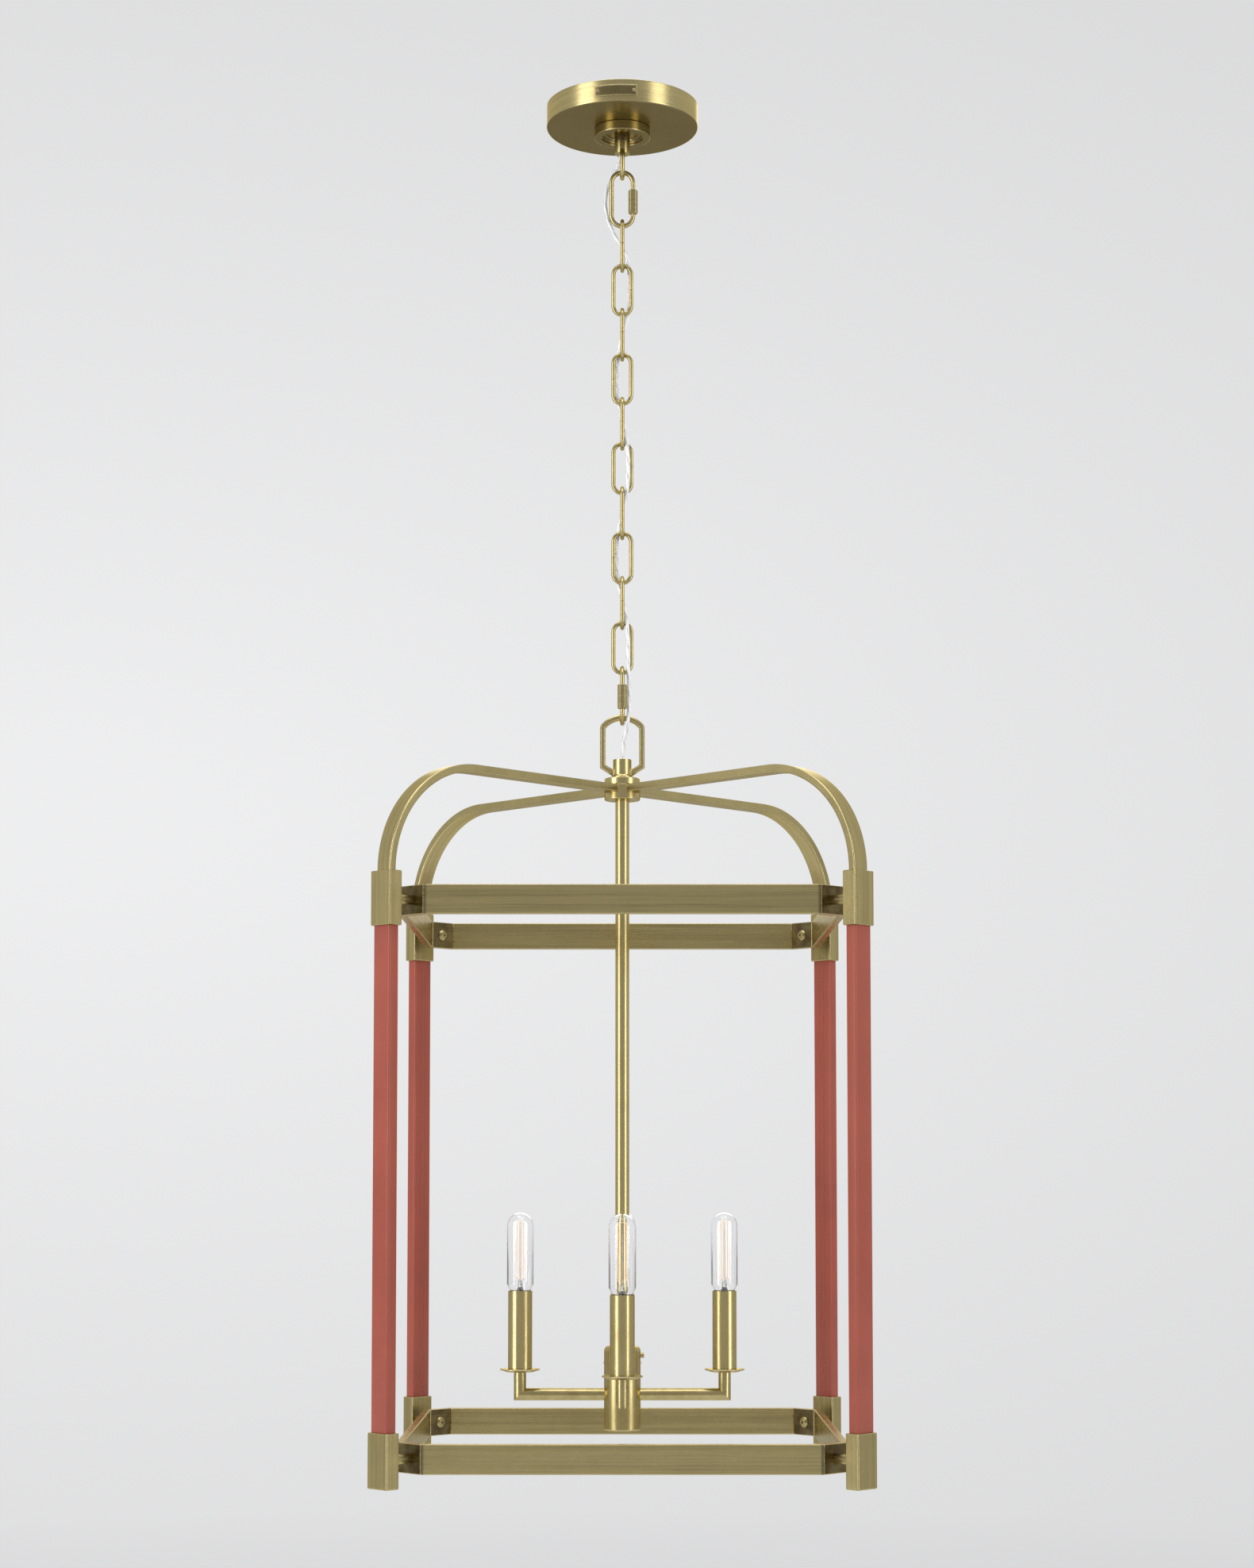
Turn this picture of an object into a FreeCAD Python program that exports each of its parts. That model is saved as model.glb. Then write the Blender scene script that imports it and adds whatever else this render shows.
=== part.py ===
import FreeCAD, Part
import math
import os
import Sketcher
from FreeCAD import Placement, Rotation, Vector

# An open square lantern with four candle lights, hung on a chain from a round ceiling canopy.
# Millimetres, +Z up, -Y is the front. The origin is the centre of the canopy's ceiling face.

SIZES = {
    # ceiling mounting, inside and around the canopy
    "canopy_radius": 66.7,
    "canopy_height": 19.5,
    "canopy_wall": 1.2,
    "canopy_edge": 1.6,
    "strap_long": 112.0,
    "strap_wide": 20.0,
    "strap_thick": 2.0,
    "strap_slot_centre": 38.5,
    "strap_slot_long": 22.0,
    "strap_slot_wide": 5.0,
    "nipple_radius": 4.85,
    "nipple_bore": 3.2,
    "nipple_long": 36.0,
    "locknut_flats": 14.3,
    "locknut_thick": 3.2,
    "ground_screw_radius": 2.0,
    "ground_screw_place": 19.0,
    "connector_radius": 4.8,
    "connector_tip": 3.4,
    "connector_long": 12.5,
    "badge_long": 37.0,
    "badge_high": 9.6,
    "badge_thick": 0.8,
    "badge_offset": 5.8,
    "badge_drop": 9.8,
    "rivet_radius": 1.5,
    "rivet_spacing": 31.8,
    "collar_radius": 24.35,
    "collar_high": 8.3,
    "collar_recess_radius": 18.0,
    "collar_recess_deep": 3.2,
    "collar_step_wide": 3.2,
    "collar_step_deep": 1.4,
    # the loop under the canopy
    "barrel_radius": 6.6,
    "barrel_long": 22.5,
    "barrel_bore": 2.6,
    "canopy_loop_wide": 22.4,
    "canopy_loop_long": 28.2,
    "canopy_loop_wire": 4.4,
    "canopy_loop_bottom": 65.2,
    # quick links and chain
    "quick_wide": 22.9,
    "quick_long": 52.3,
    "quick_wire": 4.0,
    "quick_gap": 5.4,
    "sleeve_flats": 7.2,
    "sleeve_long": 21.0,
    "sleeve_free": 6.8,
    "link_wide": 19.2,
    "link_long": 47.4,
    "link_wire": 3.7,
    "link_seam": 0.35,
    "hang_gap": 0.3,
    "cord_wide": 3.5,
    # lantern loop and hub
    "loop_wide": 38.8,
    "loop_bar": 4.8,
    "loop_bar_deep": 5.6,
    "loop_arch": 21.4,
    "loop_shoulder": 4.0,
    "loop_side": 42.5,
    "loop_foot": 50.5,
    "head_radius": 8.1,
    "head_rise": 39.3,
    "head_high": 13.4,
    "neck_radius": 9.4,
    "neck_high": 3.1,
    "hub_radius": 15.5,
    "hub_upper_thick": 6.4,
    "hub_lower_thick": 6.2,
    # arms, posts and collars
    "arm_wide": 15.9,
    "arm_thick": 6.35,
    "arm_start": 8.4,
    "arm_bend": 94.0,
    "arm_edge": 0.5,
    "arm_in_collar": 8.0,
    "post_reach": 266.6,
    "collar_wide": 23.5,
    "collar_deep": 13.2,
    "collar_tall": 44.0,
    "collar_edge": 0.7,
    "leather_wide": 19.5,
    "leather_deep": 10.0,
    "leather_long": 401.5,
    "leather_round": 1.8,
    "core_wide": 17.3,
    "core_deep": 7.8,
    "core_wall": 1.2,
    "core_in_collar": 34.0,
    # rails and their fixings
    "rail_face": 180.8,
    "rail_bend": 159.7,
    "rail_thick": 6.35,
    "rail_high": 23.8,
    "rail_edge": 0.45,
    "rail_below_collar_top": 9.9,
    "spacer_radius": 4.0,
    "screw_radius": 2.0,
    "screw_head": 5.0,
    "screw_head_high": 2.7,
    "screw_key": 3.0,
    # stem and cluster
    "stem_radius": 6.0,
    "stem_bore": 4.4,
    "stem_visible": 469.6,
    "stem_in_cluster": 12.0,
    "cluster_radius": 15.65,
    "cluster_high": 65.9,
    "cluster_wall": 3.2,
    "cluster_round": 4.5,
    "cap_high": 6.0,
    "candle_arm_drop": 41.3,
    "candle_arm_radius": 5.25,
    "candle_arm_wall": 1.1,
    "candle_reach": 87.5,
    "candle_arm_rise": 19.0,
    "pan_radius": 17.0,
    "pan_high": 2.6,
    "pan_thick": 0.9,
    "sleeve_radius": 10.3,
    "sleeve_wall": 0.7,
    "sleeve_high": 68.0,
    "socket_radius": 8.6,
    "socket_high": 60.0,
    "socket_deep": 27.0,
    # bulbs
    "bulb_radius": 11.4,
    "bulb_high": 66.9,
    "bulb_wall": 0.8,
    "bulb_neck": 6.3,
    "bulb_taper": 11.0,
    "bulb_sink": 5.0,
    "base_radius": 5.85,
    "base_long": 17.0,
    "set_screw_radius": 1.5,
    "mount_foot": 1.9,
    "mount_head": 3.2,
    "filament_high": 41.0,
    "filament_radius": 0.35,
    "filament_spread": 2.6,
    "running_gap": 0.3,
}


class Size:
    """A length that carries its number and the sheet's formula for it together."""

    def __init__(self, value, formula):
        self.value = value
        self.formula = formula

    def __add__(self, other):
        return Size(self.value + value(other), f"({self.formula} + {formula(other)})")

    def __sub__(self, other):
        return Size(self.value - value(other), f"({self.formula} - {formula(other)})")

    def __mul__(self, other):
        return Size(self.value * value(other), f"({self.formula} * {formula(other)})")

    def __truediv__(self, other):
        return Size(self.value / value(other), f"({self.formula} / {formula(other)})")

    def __radd__(self, other):
        return Size(value(other) + self.value, f"({formula(other)} + {self.formula})")

    def __rsub__(self, other):
        return Size(value(other) - self.value, f"({formula(other)} - {self.formula})")

    def __rmul__(self, other):
        return Size(value(other) * self.value, f"({formula(other)} * {self.formula})")

    def __neg__(self):
        return Size(-self.value, f"(0 - {self.formula})")


def value(size):
    return size.value if isinstance(size, Size) else float(size)


def formula(size):
    return size.formula if isinstance(size, Size) else f"({float(size)!r})"


def root(size):
    return Size(math.sqrt(size.value), f"sqrt({size.formula})")


class Sheet:
    """The spreadsheet of driving sizes; each one is read as an attribute."""

    def __init__(self, document, sizes):
        cells = document.addObject("Spreadsheet::Sheet", "sizes")
        for row, (name, number) in enumerate(sizes.items(), start=1):
            cells.set(f"A{row}", name)
            cells.set(f"B{row}", str(number))
            cells.setAlias(f"B{row}", name)
            setattr(self, name, Size(number, f"sizes.{name}"))
        document.recompute()


doc = FreeCAD.newDocument("square_lantern")
s = Sheet(doc, SIZES)
pieces = []


def bind(thing, path, size):
    """Sets a property from a size, so that it follows the sheet."""
    thing.setExpression(path, formula(size))


def put(thing, place=(0, 0, 0), rotation=Rotation()):
    """Places a thing at a point whose coordinates may be sizes."""
    thing.Placement = Placement(Vector(*map(value, place)), rotation)
    for letter, size in zip("xyz", place):
        if isinstance(size, Size):
            bind(thing, f"Placement.Base.{letter}", size)
    return thing


def piece(label, thing):
    """Keeps a finished thing as a node of the lantern."""
    thing.Label = label
    pieces.append(thing)
    return thing


# ---- solids made from primitives ----


def about_z(turn):
    return Rotation(Vector(0, 0, 1), turn)


def turned_point(out, across, up, turn):
    """A point given outwards and across in a frame that is turned about Z."""
    cosine = math.cos(math.radians(turn))
    sine = math.sin(math.radians(turn))
    return out * cosine - across * sine, out * sine + across * cosine, up


def rod(radius, length, start=(0, 0, 0), along=(0, 0, 1)):
    thing = doc.addObject("Part::Cylinder", "rod")
    bind(thing, "Radius", radius)
    bind(thing, "Height", length)
    return put(thing, start, Rotation(Vector(0, 0, 1), Vector(*along)))


def cone(low_radius, high_radius, height, start=(0, 0, 0)):
    thing = doc.addObject("Part::Cone", "cone")
    bind(thing, "Radius1", low_radius)
    bind(thing, "Radius2", high_radius)
    bind(thing, "Height", height)
    return put(thing, start)


def ball(radius, centre):
    thing = doc.addObject("Part::Sphere", "ball")
    bind(thing, "Radius", radius)
    return put(thing, centre)


def block(out, across, up, centre, turn=0):
    """A box with its middle at a point given in the turned frame."""
    thing = doc.addObject("Part::Box", "block")
    bind(thing, "Length", out)
    bind(thing, "Width", across)
    bind(thing, "Height", up)
    corner = turned_point(centre[0] - out / 2, centre[1] - across / 2, centre[2] - up / 2, turn)
    return put(thing, corner, about_z(turn))


def prism(flats, height, start):
    """A hexagonal prism, by its size across flats."""
    thing = doc.addObject("Part::Prism", "prism")
    thing.Polygon = 6
    bind(thing, "Circumradius", flats / math.sqrt(3))
    bind(thing, "Height", height)
    return put(thing, start)


def join(*parts):
    thing = doc.addObject("Part::MultiFuse", "join")
    thing.Shapes = list(parts)
    return thing


def cut(base, *tools):
    thing = doc.addObject("Part::Cut", "cut")
    thing.Base = base
    thing.Tool = tools[0] if len(tools) == 1 else join(*tools)
    return thing


def common(first, second):
    thing = doc.addObject("Part::Common", "common")
    thing.Base = first
    thing.Tool = second
    return thing


def group(*parts):
    """Separate solids of one kind, kept together as one node."""
    thing = doc.addObject("Part::Compound", "group")
    thing.Links = list(parts)
    return thing


# ---- solids made from sketches ----


def body_plane(body, role):
    return next(item for item in body.Origin.OriginFeatures if item.Role == role)


def sketch_on(body, role, name):
    sketch = body.newObject("Sketcher::SketchObject", name)
    sketch.AttachmentSupport = [(body_plane(body, role), "")]
    sketch.MapMode = "FlatFace"
    return sketch


def dimension(sketch, kind, size, *places):
    """A sketch dimension that follows the sheet."""
    row = sketch.addConstraint(Sketcher.Constraint(kind, *places, value(size)))
    sketch.setExpression(f"Constraints[{row}]", formula(size))


def pin(sketch, line, end, across, up):
    """Fixes a sketch point at a place measured from the sketch's origin."""
    for kind, size, axis in (("DistanceX", across, -2), ("DistanceY", up, -1)):
        if abs(value(size)) < 1e-9:
            sketch.addConstraint(Sketcher.Constraint("PointOnObject", line, end, axis))
        elif value(size) > 0:
            dimension(sketch, kind, size, -1, 1, line, end)
        else:
            dimension(sketch, kind, -size, line, end, -1, 1)


def outline(body, role, corners, name="outline"):
    """A closed sketch with straight sides through the given corners."""
    sketch = sketch_on(body, role, name)
    points = [Vector(value(across), value(up), 0) for across, up in corners]
    for here, there in zip(points, points[1:] + points[:1]):
        sketch.addGeometry(Part.LineSegment(here, there))
    for line, (across, up) in enumerate(corners):
        following = (line + 1) % len(corners)
        sketch.addConstraint(Sketcher.Constraint("Coincident", line, 2, following, 1))
        pin(sketch, line, 1, across, up)
    return sketch


def revolve(body, corners):
    feature = body.newObject("PartDesign::Revolution", "turning")
    sketch = outline(body, "XZ_Plane", corners, "profile")
    feature.Profile = sketch
    feature.ReferenceAxis = (sketch, ["V_Axis"])
    feature.Angle = 360
    return feature


def turned(corners, *rounds):
    """A body turned about Z, with the circular edges at (radius, height) rounded."""
    body = doc.addObject("PartDesign::Body", "turned")
    feature = revolve(body, corners)
    for radius, height, size in rounds:
        doc.recompute()
        fillet = body.newObject("PartDesign::Fillet", "rounding")
        fillet.Base = (feature, [ring_edge(feature.Shape, value(radius), value(height))])
        bind(fillet, "Radius", size)
        feature = fillet
    return body


def ring_edge(shape, radius, height):
    """The name of the circular edge with that radius at that height."""
    for number, edge in enumerate(shape.Edges, start=1):
        if isinstance(edge.Curve, Part.Circle):
            near_radius = abs(edge.Curve.Radius - radius) < 0.01
            if near_radius and abs(edge.Curve.Center.z - height) < 0.01:
                return f"Edge{number}"
    raise ValueError(f"no edge of radius {radius} at height {height}")


def break_edges(body, feature, size):
    """Chamfers every edge of a body's last feature."""
    doc.recompute()
    edges = body.newObject("PartDesign::Chamfer", "edges")
    edges.Base = (feature, ["Edge1"])
    edges.UseAllEdges = True
    bind(edges, "Size", size)


def plate(corners, low, height, edge, turn):
    """A flat plate with the given plan, standing on a height, with its edges broken."""
    body = doc.addObject("PartDesign::Body", "plate")
    feature = body.newObject("PartDesign::Pad", "pad")
    feature.Profile = outline(body, "XY_Plane", corners)
    bind(feature, "Length", height)
    break_edges(body, feature, edge)
    return put(body, (0, 0, low), about_z(turn))


def rectangle(across, up, middle=(0, 0)):
    left = middle[0] - across / 2
    right = middle[0] + across / 2
    low = middle[1] - up / 2
    high = middle[1] + up / 2
    return [(left, low), (right, low), (right, high), (left, high)]


def oval_wire(role, wide, long, wire, centre):
    """A body with round wire bent into a flat-sided oval that stands on end."""
    body = doc.addObject("PartDesign::Body", "oval")
    bend = (wide - wire) / 2
    straight = long - wide
    path = sketch_on(body, role, "path")
    radius = value(bend)
    half = value(straight) / 2
    top = Part.Circle(Vector(0, half, 0), Vector(0, 0, 1), radius)
    foot = Part.Circle(Vector(0, -half, 0), Vector(0, 0, 1), radius)
    path.addGeometry(Part.ArcOfCircle(top, 0, math.pi))
    path.addGeometry(Part.LineSegment(Vector(-radius, half, 0), Vector(-radius, -half, 0)))
    path.addGeometry(Part.ArcOfCircle(foot, math.pi, 2 * math.pi))
    path.addGeometry(Part.LineSegment(Vector(radius, -half, 0), Vector(radius, half, 0)))
    for line in range(4):
        path.addConstraint(Sketcher.Constraint("Tangent", line, 2, (line + 1) % 4, 1))
    path.addConstraint(Sketcher.Constraint("PointOnObject", 0, 3, -2))
    path.addConstraint(Sketcher.Constraint("Vertical", 1))
    path.addConstraint(Sketcher.Constraint("Symmetric", 0, 3, 2, 3, -1, 1))
    dimension(path, "Radius", bend, 0)
    dimension(path, "DistanceY", straight, 2, 3, 0, 3)
    section = sketch_on(body, "XY_Plane", "section")
    side = (bend, 0) if role == "XZ_Plane" else (0, bend)
    middle = Vector(*map(value, side), 0)
    section.addGeometry(Part.Circle(middle, Vector(0, 0, 1), value(wire) / 2))
    dimension(section, "Diameter", wire, 0)
    pin(section, 0, 3, *side)
    doc.recompute()
    feature = body.newObject("PartDesign::AdditivePipe", "wire")
    feature.Profile = section
    feature.Spine = path
    return put(body, (0, 0, centre))


# ---- heights down the lantern, from the ceiling ----

canopy_bottom = -s.canopy_height
barrel_bottom = canopy_bottom - s.barrel_long
canopy_loop_centre = -s.canopy_loop_bottom + s.canopy_loop_long / 2
canopy_loop_seat = -s.canopy_loop_bottom + s.canopy_loop_wire / 2


def hung_from(seat, seat_wire, wire):
    """The height of a wire's own centre where it hangs on another wire."""
    return seat + (seat_wire + wire) / 2 + s.hang_gap


quick_top = hung_from(canopy_loop_seat, s.canopy_loop_wire, s.quick_wire)
quick_drop = s.quick_long - s.quick_wire
link_drop = s.link_long - s.link_wire
LINKS = 10
link_tops = [hung_from(quick_top - quick_drop, s.quick_wire, s.link_wire)]
for _ in range(LINKS - 1):
    link_tops.append(hung_from(link_tops[-1] - link_drop, s.link_wire, s.link_wire))
low_quick_top = hung_from(link_tops[-1] - link_drop, s.link_wire, s.quick_wire)
loop_top = hung_from(low_quick_top - quick_drop, s.quick_wire, s.loop_bar)
head_top = loop_top + s.loop_bar / 2 - s.head_rise
head_bottom = head_top - s.head_high
hub_top = head_bottom - s.neck_high
arm_top = hub_top - s.hub_upper_thick
arm_bottom = arm_top - s.arm_thick
hub_bottom = arm_bottom - s.hub_lower_thick
collar_top = arm_top - s.arm_bend
leather_top = collar_top - s.collar_tall
leather_bottom = leather_top - s.leather_long
lantern_bottom = leather_bottom - s.collar_tall
upper_rail_top = collar_top - s.rail_below_collar_top
lower_rail_top = leather_bottom - s.rail_below_collar_top
cluster_top = hub_bottom - s.stem_visible
cluster_bottom = cluster_top - s.cluster_high
candle_arm_height = cluster_top - s.candle_arm_drop
pan_seat = candle_arm_height + s.candle_arm_rise
sleeve_seat = pan_seat + s.pan_thick
sleeve_top = sleeve_seat + s.sleeve_high
socket_top = sleeve_seat + s.socket_high

CORNERS = (225, 315, 45, 135)
CORNER_NAMES = ("front_left", "front_right", "back_right", "back_left")
CANDLES = (270, 0, 90, 180)
CANDLE_NAMES = ("front", "right", "back", "left")


# ---- ceiling mounting ----

def mounting_strap():
    """A flat cross bar with two slots, held to the ceiling box."""
    bar = block(s.strap_long, s.strap_wide, s.strap_thick, (0, 0, -s.strap_thick / 2))
    holes = [rod(s.nipple_radius, s.strap_thick * 3, (0, 0, -s.strap_thick * 2))]
    screw_hole = (s.ground_screw_place, 0, -s.strap_thick * 2)
    holes.append(rod(s.ground_screw_radius, s.strap_thick * 3, screw_hole))
    half_run = (s.strap_slot_long - s.strap_slot_wide) / 2
    for side in (-1, 1):
        middle = s.strap_slot_centre * side
        slot_size = (half_run * 2, s.strap_slot_wide, s.strap_thick * 3)
        holes.append(block(*slot_size, (middle, 0, -s.strap_thick / 2)))
        for end in (-1, 1):
            place = (middle + half_run * end, 0, -s.strap_thick * 2)
            holes.append(rod(s.strap_slot_wide / 2, s.strap_thick * 3, place))
    piece("mounting_strap", cut(bar, *holes))


def nipple_and_locknut():
    bottom = -s.nipple_long
    tube = rod(s.nipple_radius, s.nipple_long, (0, 0, bottom))
    bore = rod(s.nipple_bore, s.nipple_long + 2, (0, 0, bottom - 1))
    piece("strap_nipple", cut(tube, bore))
    nut_bottom = -s.strap_thick - s.locknut_thick
    nut = prism(s.locknut_flats, s.locknut_thick, (0, 0, nut_bottom))
    nut_bore = rod(s.nipple_radius, s.locknut_thick + 2, (0, 0, nut_bottom - 1))
    piece("strap_locknut", cut(nut, nut_bore))


def ground_screw():
    head_high = s.ground_screw_radius
    head_bottom_height = -s.strap_thick - head_high
    spot = (s.ground_screw_place, 0, head_bottom_height)
    head = rod(s.ground_screw_radius * 2, head_high, spot)
    shank = rod(s.ground_screw_radius, s.strap_thick + head_high, spot)
    slot = block(s.ground_screw_radius * 4.4, 0.9, 1.6, (s.ground_screw_place, 0, head_bottom_height))
    piece("ground_screw", cut(join(head, shank), slot))


def wire_connectors():
    """Three twist-on caps that stand on the canopy's floor."""
    floor = canopy_bottom + s.canopy_wall
    caps = []
    for across, depth in ((-34, 22), (-22, 34), (33, 24)):
        body = cone(s.connector_radius, s.connector_tip, s.connector_long, (across, depth, floor))
        mouth = rod(s.connector_tip * 0.7, s.connector_long * 0.6, (across, depth, floor - 0.1))
        caps.append(cut(body, mouth))
    piece("wire_connectors", group(*caps))


def canopy():
    inside = s.canopy_radius - s.canopy_wall
    floor = canopy_bottom + s.canopy_wall
    hole = s.nipple_radius
    profile = [(s.canopy_radius, 0), (s.canopy_radius, canopy_bottom), (hole, canopy_bottom)]
    profile += [(hole, floor), (inside, floor), (inside, 0)]
    outer = (s.canopy_radius, canopy_bottom, s.canopy_edge)
    inner = (inside, floor, s.canopy_edge - s.canopy_wall / 2)
    piece("canopy", turned(profile, outer, inner))


def badge():
    """A blank curved plate on the canopy's side, held by two rivets."""
    outside = s.canopy_radius + s.badge_thick
    ring = cut(rod(outside, s.canopy_height, (0, 0, canopy_bottom)),
               rod(s.canopy_radius, s.canopy_height + 2, (0, 0, canopy_bottom - 1)))
    centre = (-s.badge_offset, -s.canopy_radius, -s.badge_drop)
    window = block(s.badge_long, s.canopy_radius, s.badge_high, centre)
    plate_blank = common(ring, window)
    rivets = []
    for side in (-1, 1):
        across = -s.badge_offset + s.rivet_spacing / 2 * side
        face = root(outside * outside - across * across)
        start = (across, -face - s.rivet_radius / 2, -s.badge_drop)
        head_ball = ball(s.rivet_radius, (across, -face, -s.badge_drop))
        pin_start = (across, -face, -s.badge_drop)
        shank = rod(s.rivet_radius * 0.6, s.badge_thick * 2, pin_start, (0, 1, 0))
        rivets.append(join(common(head_ball, rod(s.rivet_radius, s.rivet_radius, start, (0, 1, 0))), shank))
    piece("badge_plate", cut(plate_blank, *rivets))
    canopy_shell = rod(s.canopy_radius, s.canopy_height, (0, 0, canopy_bottom))
    piece("badge_rivets", group(*[cut(rivet, canopy_shell) for rivet in rivets]))


def canopy_loop():
    """A bored barrel that screws on the nipple and carries the chain's first link."""
    size = (s.canopy_loop_wide, s.canopy_loop_long, s.canopy_loop_wire)
    loop = oval_wire("YZ_Plane", *size, canopy_loop_centre)
    barrel = rod(s.barrel_radius, s.barrel_long, (0, 0, barrel_bottom))
    bore = rod(s.barrel_bore, s.barrel_long + 2, (0, 0, barrel_bottom - 1))
    seat = rod(s.nipple_radius, s.nipple_long, (0, 0, -s.nipple_long))
    piece("canopy_loop", cut(join(loop, barrel), bore, seat))


def screw_collar():
    """The ring that screws up round the barrel and holds the canopy to the ceiling."""
    high = canopy_bottom - s.running_gap
    low = high - s.collar_high
    recess = low + s.collar_recess_deep
    hole = s.barrel_radius + s.running_gap
    step = s.collar_recess_radius - s.collar_step_wide
    step_up = recess + s.collar_step_deep
    profile = [(hole, high), (s.collar_radius, high), (s.collar_radius, low)]
    profile += [(s.collar_recess_radius, low), (s.collar_recess_radius, recess)]
    profile += [(step, recess), (step, step_up), (hole, step_up)]
    rounds = ((s.collar_radius, low, 1.0), (s.collar_recess_radius, low, 0.6))
    piece("screw_collar", turned(profile, *rounds))


# ---- chain ----

def quick_link(label, role, top, side):
    """An oval link whose gap is closed by a hexagonal sleeve nut on one leg."""
    centre = top - quick_drop / 2
    wire = oval_wire(role, s.quick_wide, s.quick_long, s.quick_wire, centre)
    leg = (s.quick_wide - s.quick_wire) / 2 * side
    leg_spot = (leg, 0) if role == "XZ_Plane" else (0, leg)
    nut_top = centre + (s.quick_long - s.quick_wide) / 2 - s.sleeve_free
    nut_bottom = nut_top - s.sleeve_long
    gap_middle = nut_bottom + s.quick_gap / 2 + s.running_gap
    opening = block(s.quick_wire * 2, s.quick_wire * 2, s.quick_gap, (*leg_spot, gap_middle))
    piece(label, cut(wire, opening))
    nut = prism(s.sleeve_flats, s.sleeve_long, (*leg_spot, nut_bottom))
    bevel = s.sleeve_flats / 2 + 0.35
    caps = cone(bevel - 0.6, bevel + s.sleeve_long, s.sleeve_long + 0.6, (*leg_spot, nut_bottom))
    bore = rod(s.quick_wire / 2 + s.running_gap, s.sleeve_long + 2, (*leg_spot, nut_bottom - 1))
    piece(f"{label}_nut", cut(common(nut, caps), bore))


def chain_link(number, top, side):
    """One plain oval link with a butt seam in the middle of one leg."""
    role = "YZ_Plane" if number % 2 else "XZ_Plane"
    centre = top - link_drop / 2
    label = f"chain_link_{number:02d}"
    wire = oval_wire(role, s.link_wide, s.link_long, s.link_wire, centre)
    leg = (s.link_wide - s.link_wire) / 2 * side
    leg_spot = (leg, 0) if role == "XZ_Plane" else (0, leg)
    seam = block(s.link_wire * 1.4, s.link_wire * 1.4, s.link_seam, (*leg_spot, centre))
    piece(label, cut(wire, seam))


def chain():
    quick_link("quick_link_top", "XZ_Plane", quick_top, 1)
    for number, top in enumerate(link_tops, start=1):
        if number % 2:
            side = -1
        else:
            side = 1 if number % 4 == 2 else -1
        chain_link(number, top, side)
    quick_link("quick_link_bottom", "YZ_Plane", low_quick_top, -1)


# ---- supply cord ----

# The cord leaves the barrel, swings out to the left of the first quick link and is then
# woven down the chain: behind links 2, 4 and 8, in front of links 6 and 10, and through
# the odd links between them, then past the second quick link into the lantern's head.
CORD_ROUTE = [
    (0.0, 0.0, -24.0),
    (0.2, 0.1, -44.0),
    (-8.0, 5.2, -59.0),
    (-15.4, 5.0, -77.0),
    (-14.2, 4.6, -97.0),
    (-5.4, 2.0, -118.0),
    (4.6, 2.2, -133.0),
    (6.6, 5.6, -150.0),
    (6.2, 5.7, -180.0),
    (0.2, 2.6, -203.0),
    (-5.0, 5.3, -226.0),
    (-4.4, 5.4, -260.0),
    (0.2, 0.6, -281.0),
    (4.8, -5.2, -304.0),
    (5.0, -5.4, -342.0),
    (0.0, 0.4, -363.0),
    (-5.0, 5.4, -384.0),
    (-4.6, 5.4, -420.0),
    (0.2, 0.6, -440.0),
    (4.8, -5.2, -463.0),
    (5.0, -5.4, -497.0),
    (6.0, -3.0, -522.0),
    (5.6, -6.4, -545.0),
    (0.3, -0.2, -567.0),
    (0.0, 0.0, -588.0),
]
ARC_SHARE = 0.45


def supply_cord():
    """A round cord along straight runs and tangent arcs, as large as the runs allow."""
    points = [Vector(*point) for point in CORD_ROUTE]
    edges = []
    radii = []
    start = points[0]
    for before, corner, after in zip(points, points[1:], points[2:]):
        back = before - corner
        onward = after - corner
        reach = ARC_SHARE * min(back.Length, onward.Length)
        half_turn = (math.pi - back.getAngle(onward)) / 2
        radius = reach / math.tan(half_turn)
        back.normalize()
        onward.normalize()
        first = corner + back * reach
        last = corner + onward * reach
        inward = (back + onward).normalize()
        middle = corner + inward * (radius / math.cos(half_turn) - radius)
        edges.append(Part.LineSegment(start, first).toShape())
        edges.append(Part.Arc(first, middle, last).toShape())
        radii.append(radius)
        start = last
    edges.append(Part.LineSegment(start, points[-1]).toShape())
    path = Part.Wire(edges)
    radius = value(s.cord_wide) / 2
    ring = Part.Wire(Part.makeCircle(radius, points[0], points[1] - points[0]))
    tube = path.makePipeShell([ring], True, True)
    expected = math.pi * radius**2 * path.Length
    print(f"cord: {path.Length:.1f} mm long, radii {[round(radius) for radius in radii]}")
    print(f"cord: volume {tube.Volume:.1f} for {expected:.1f}")
    thing = doc.addObject("Part::Feature", "cord")
    thing.Shape = tube
    piece("supply_cord", thing)


# ---- lantern loop, hub and arms ----

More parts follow.
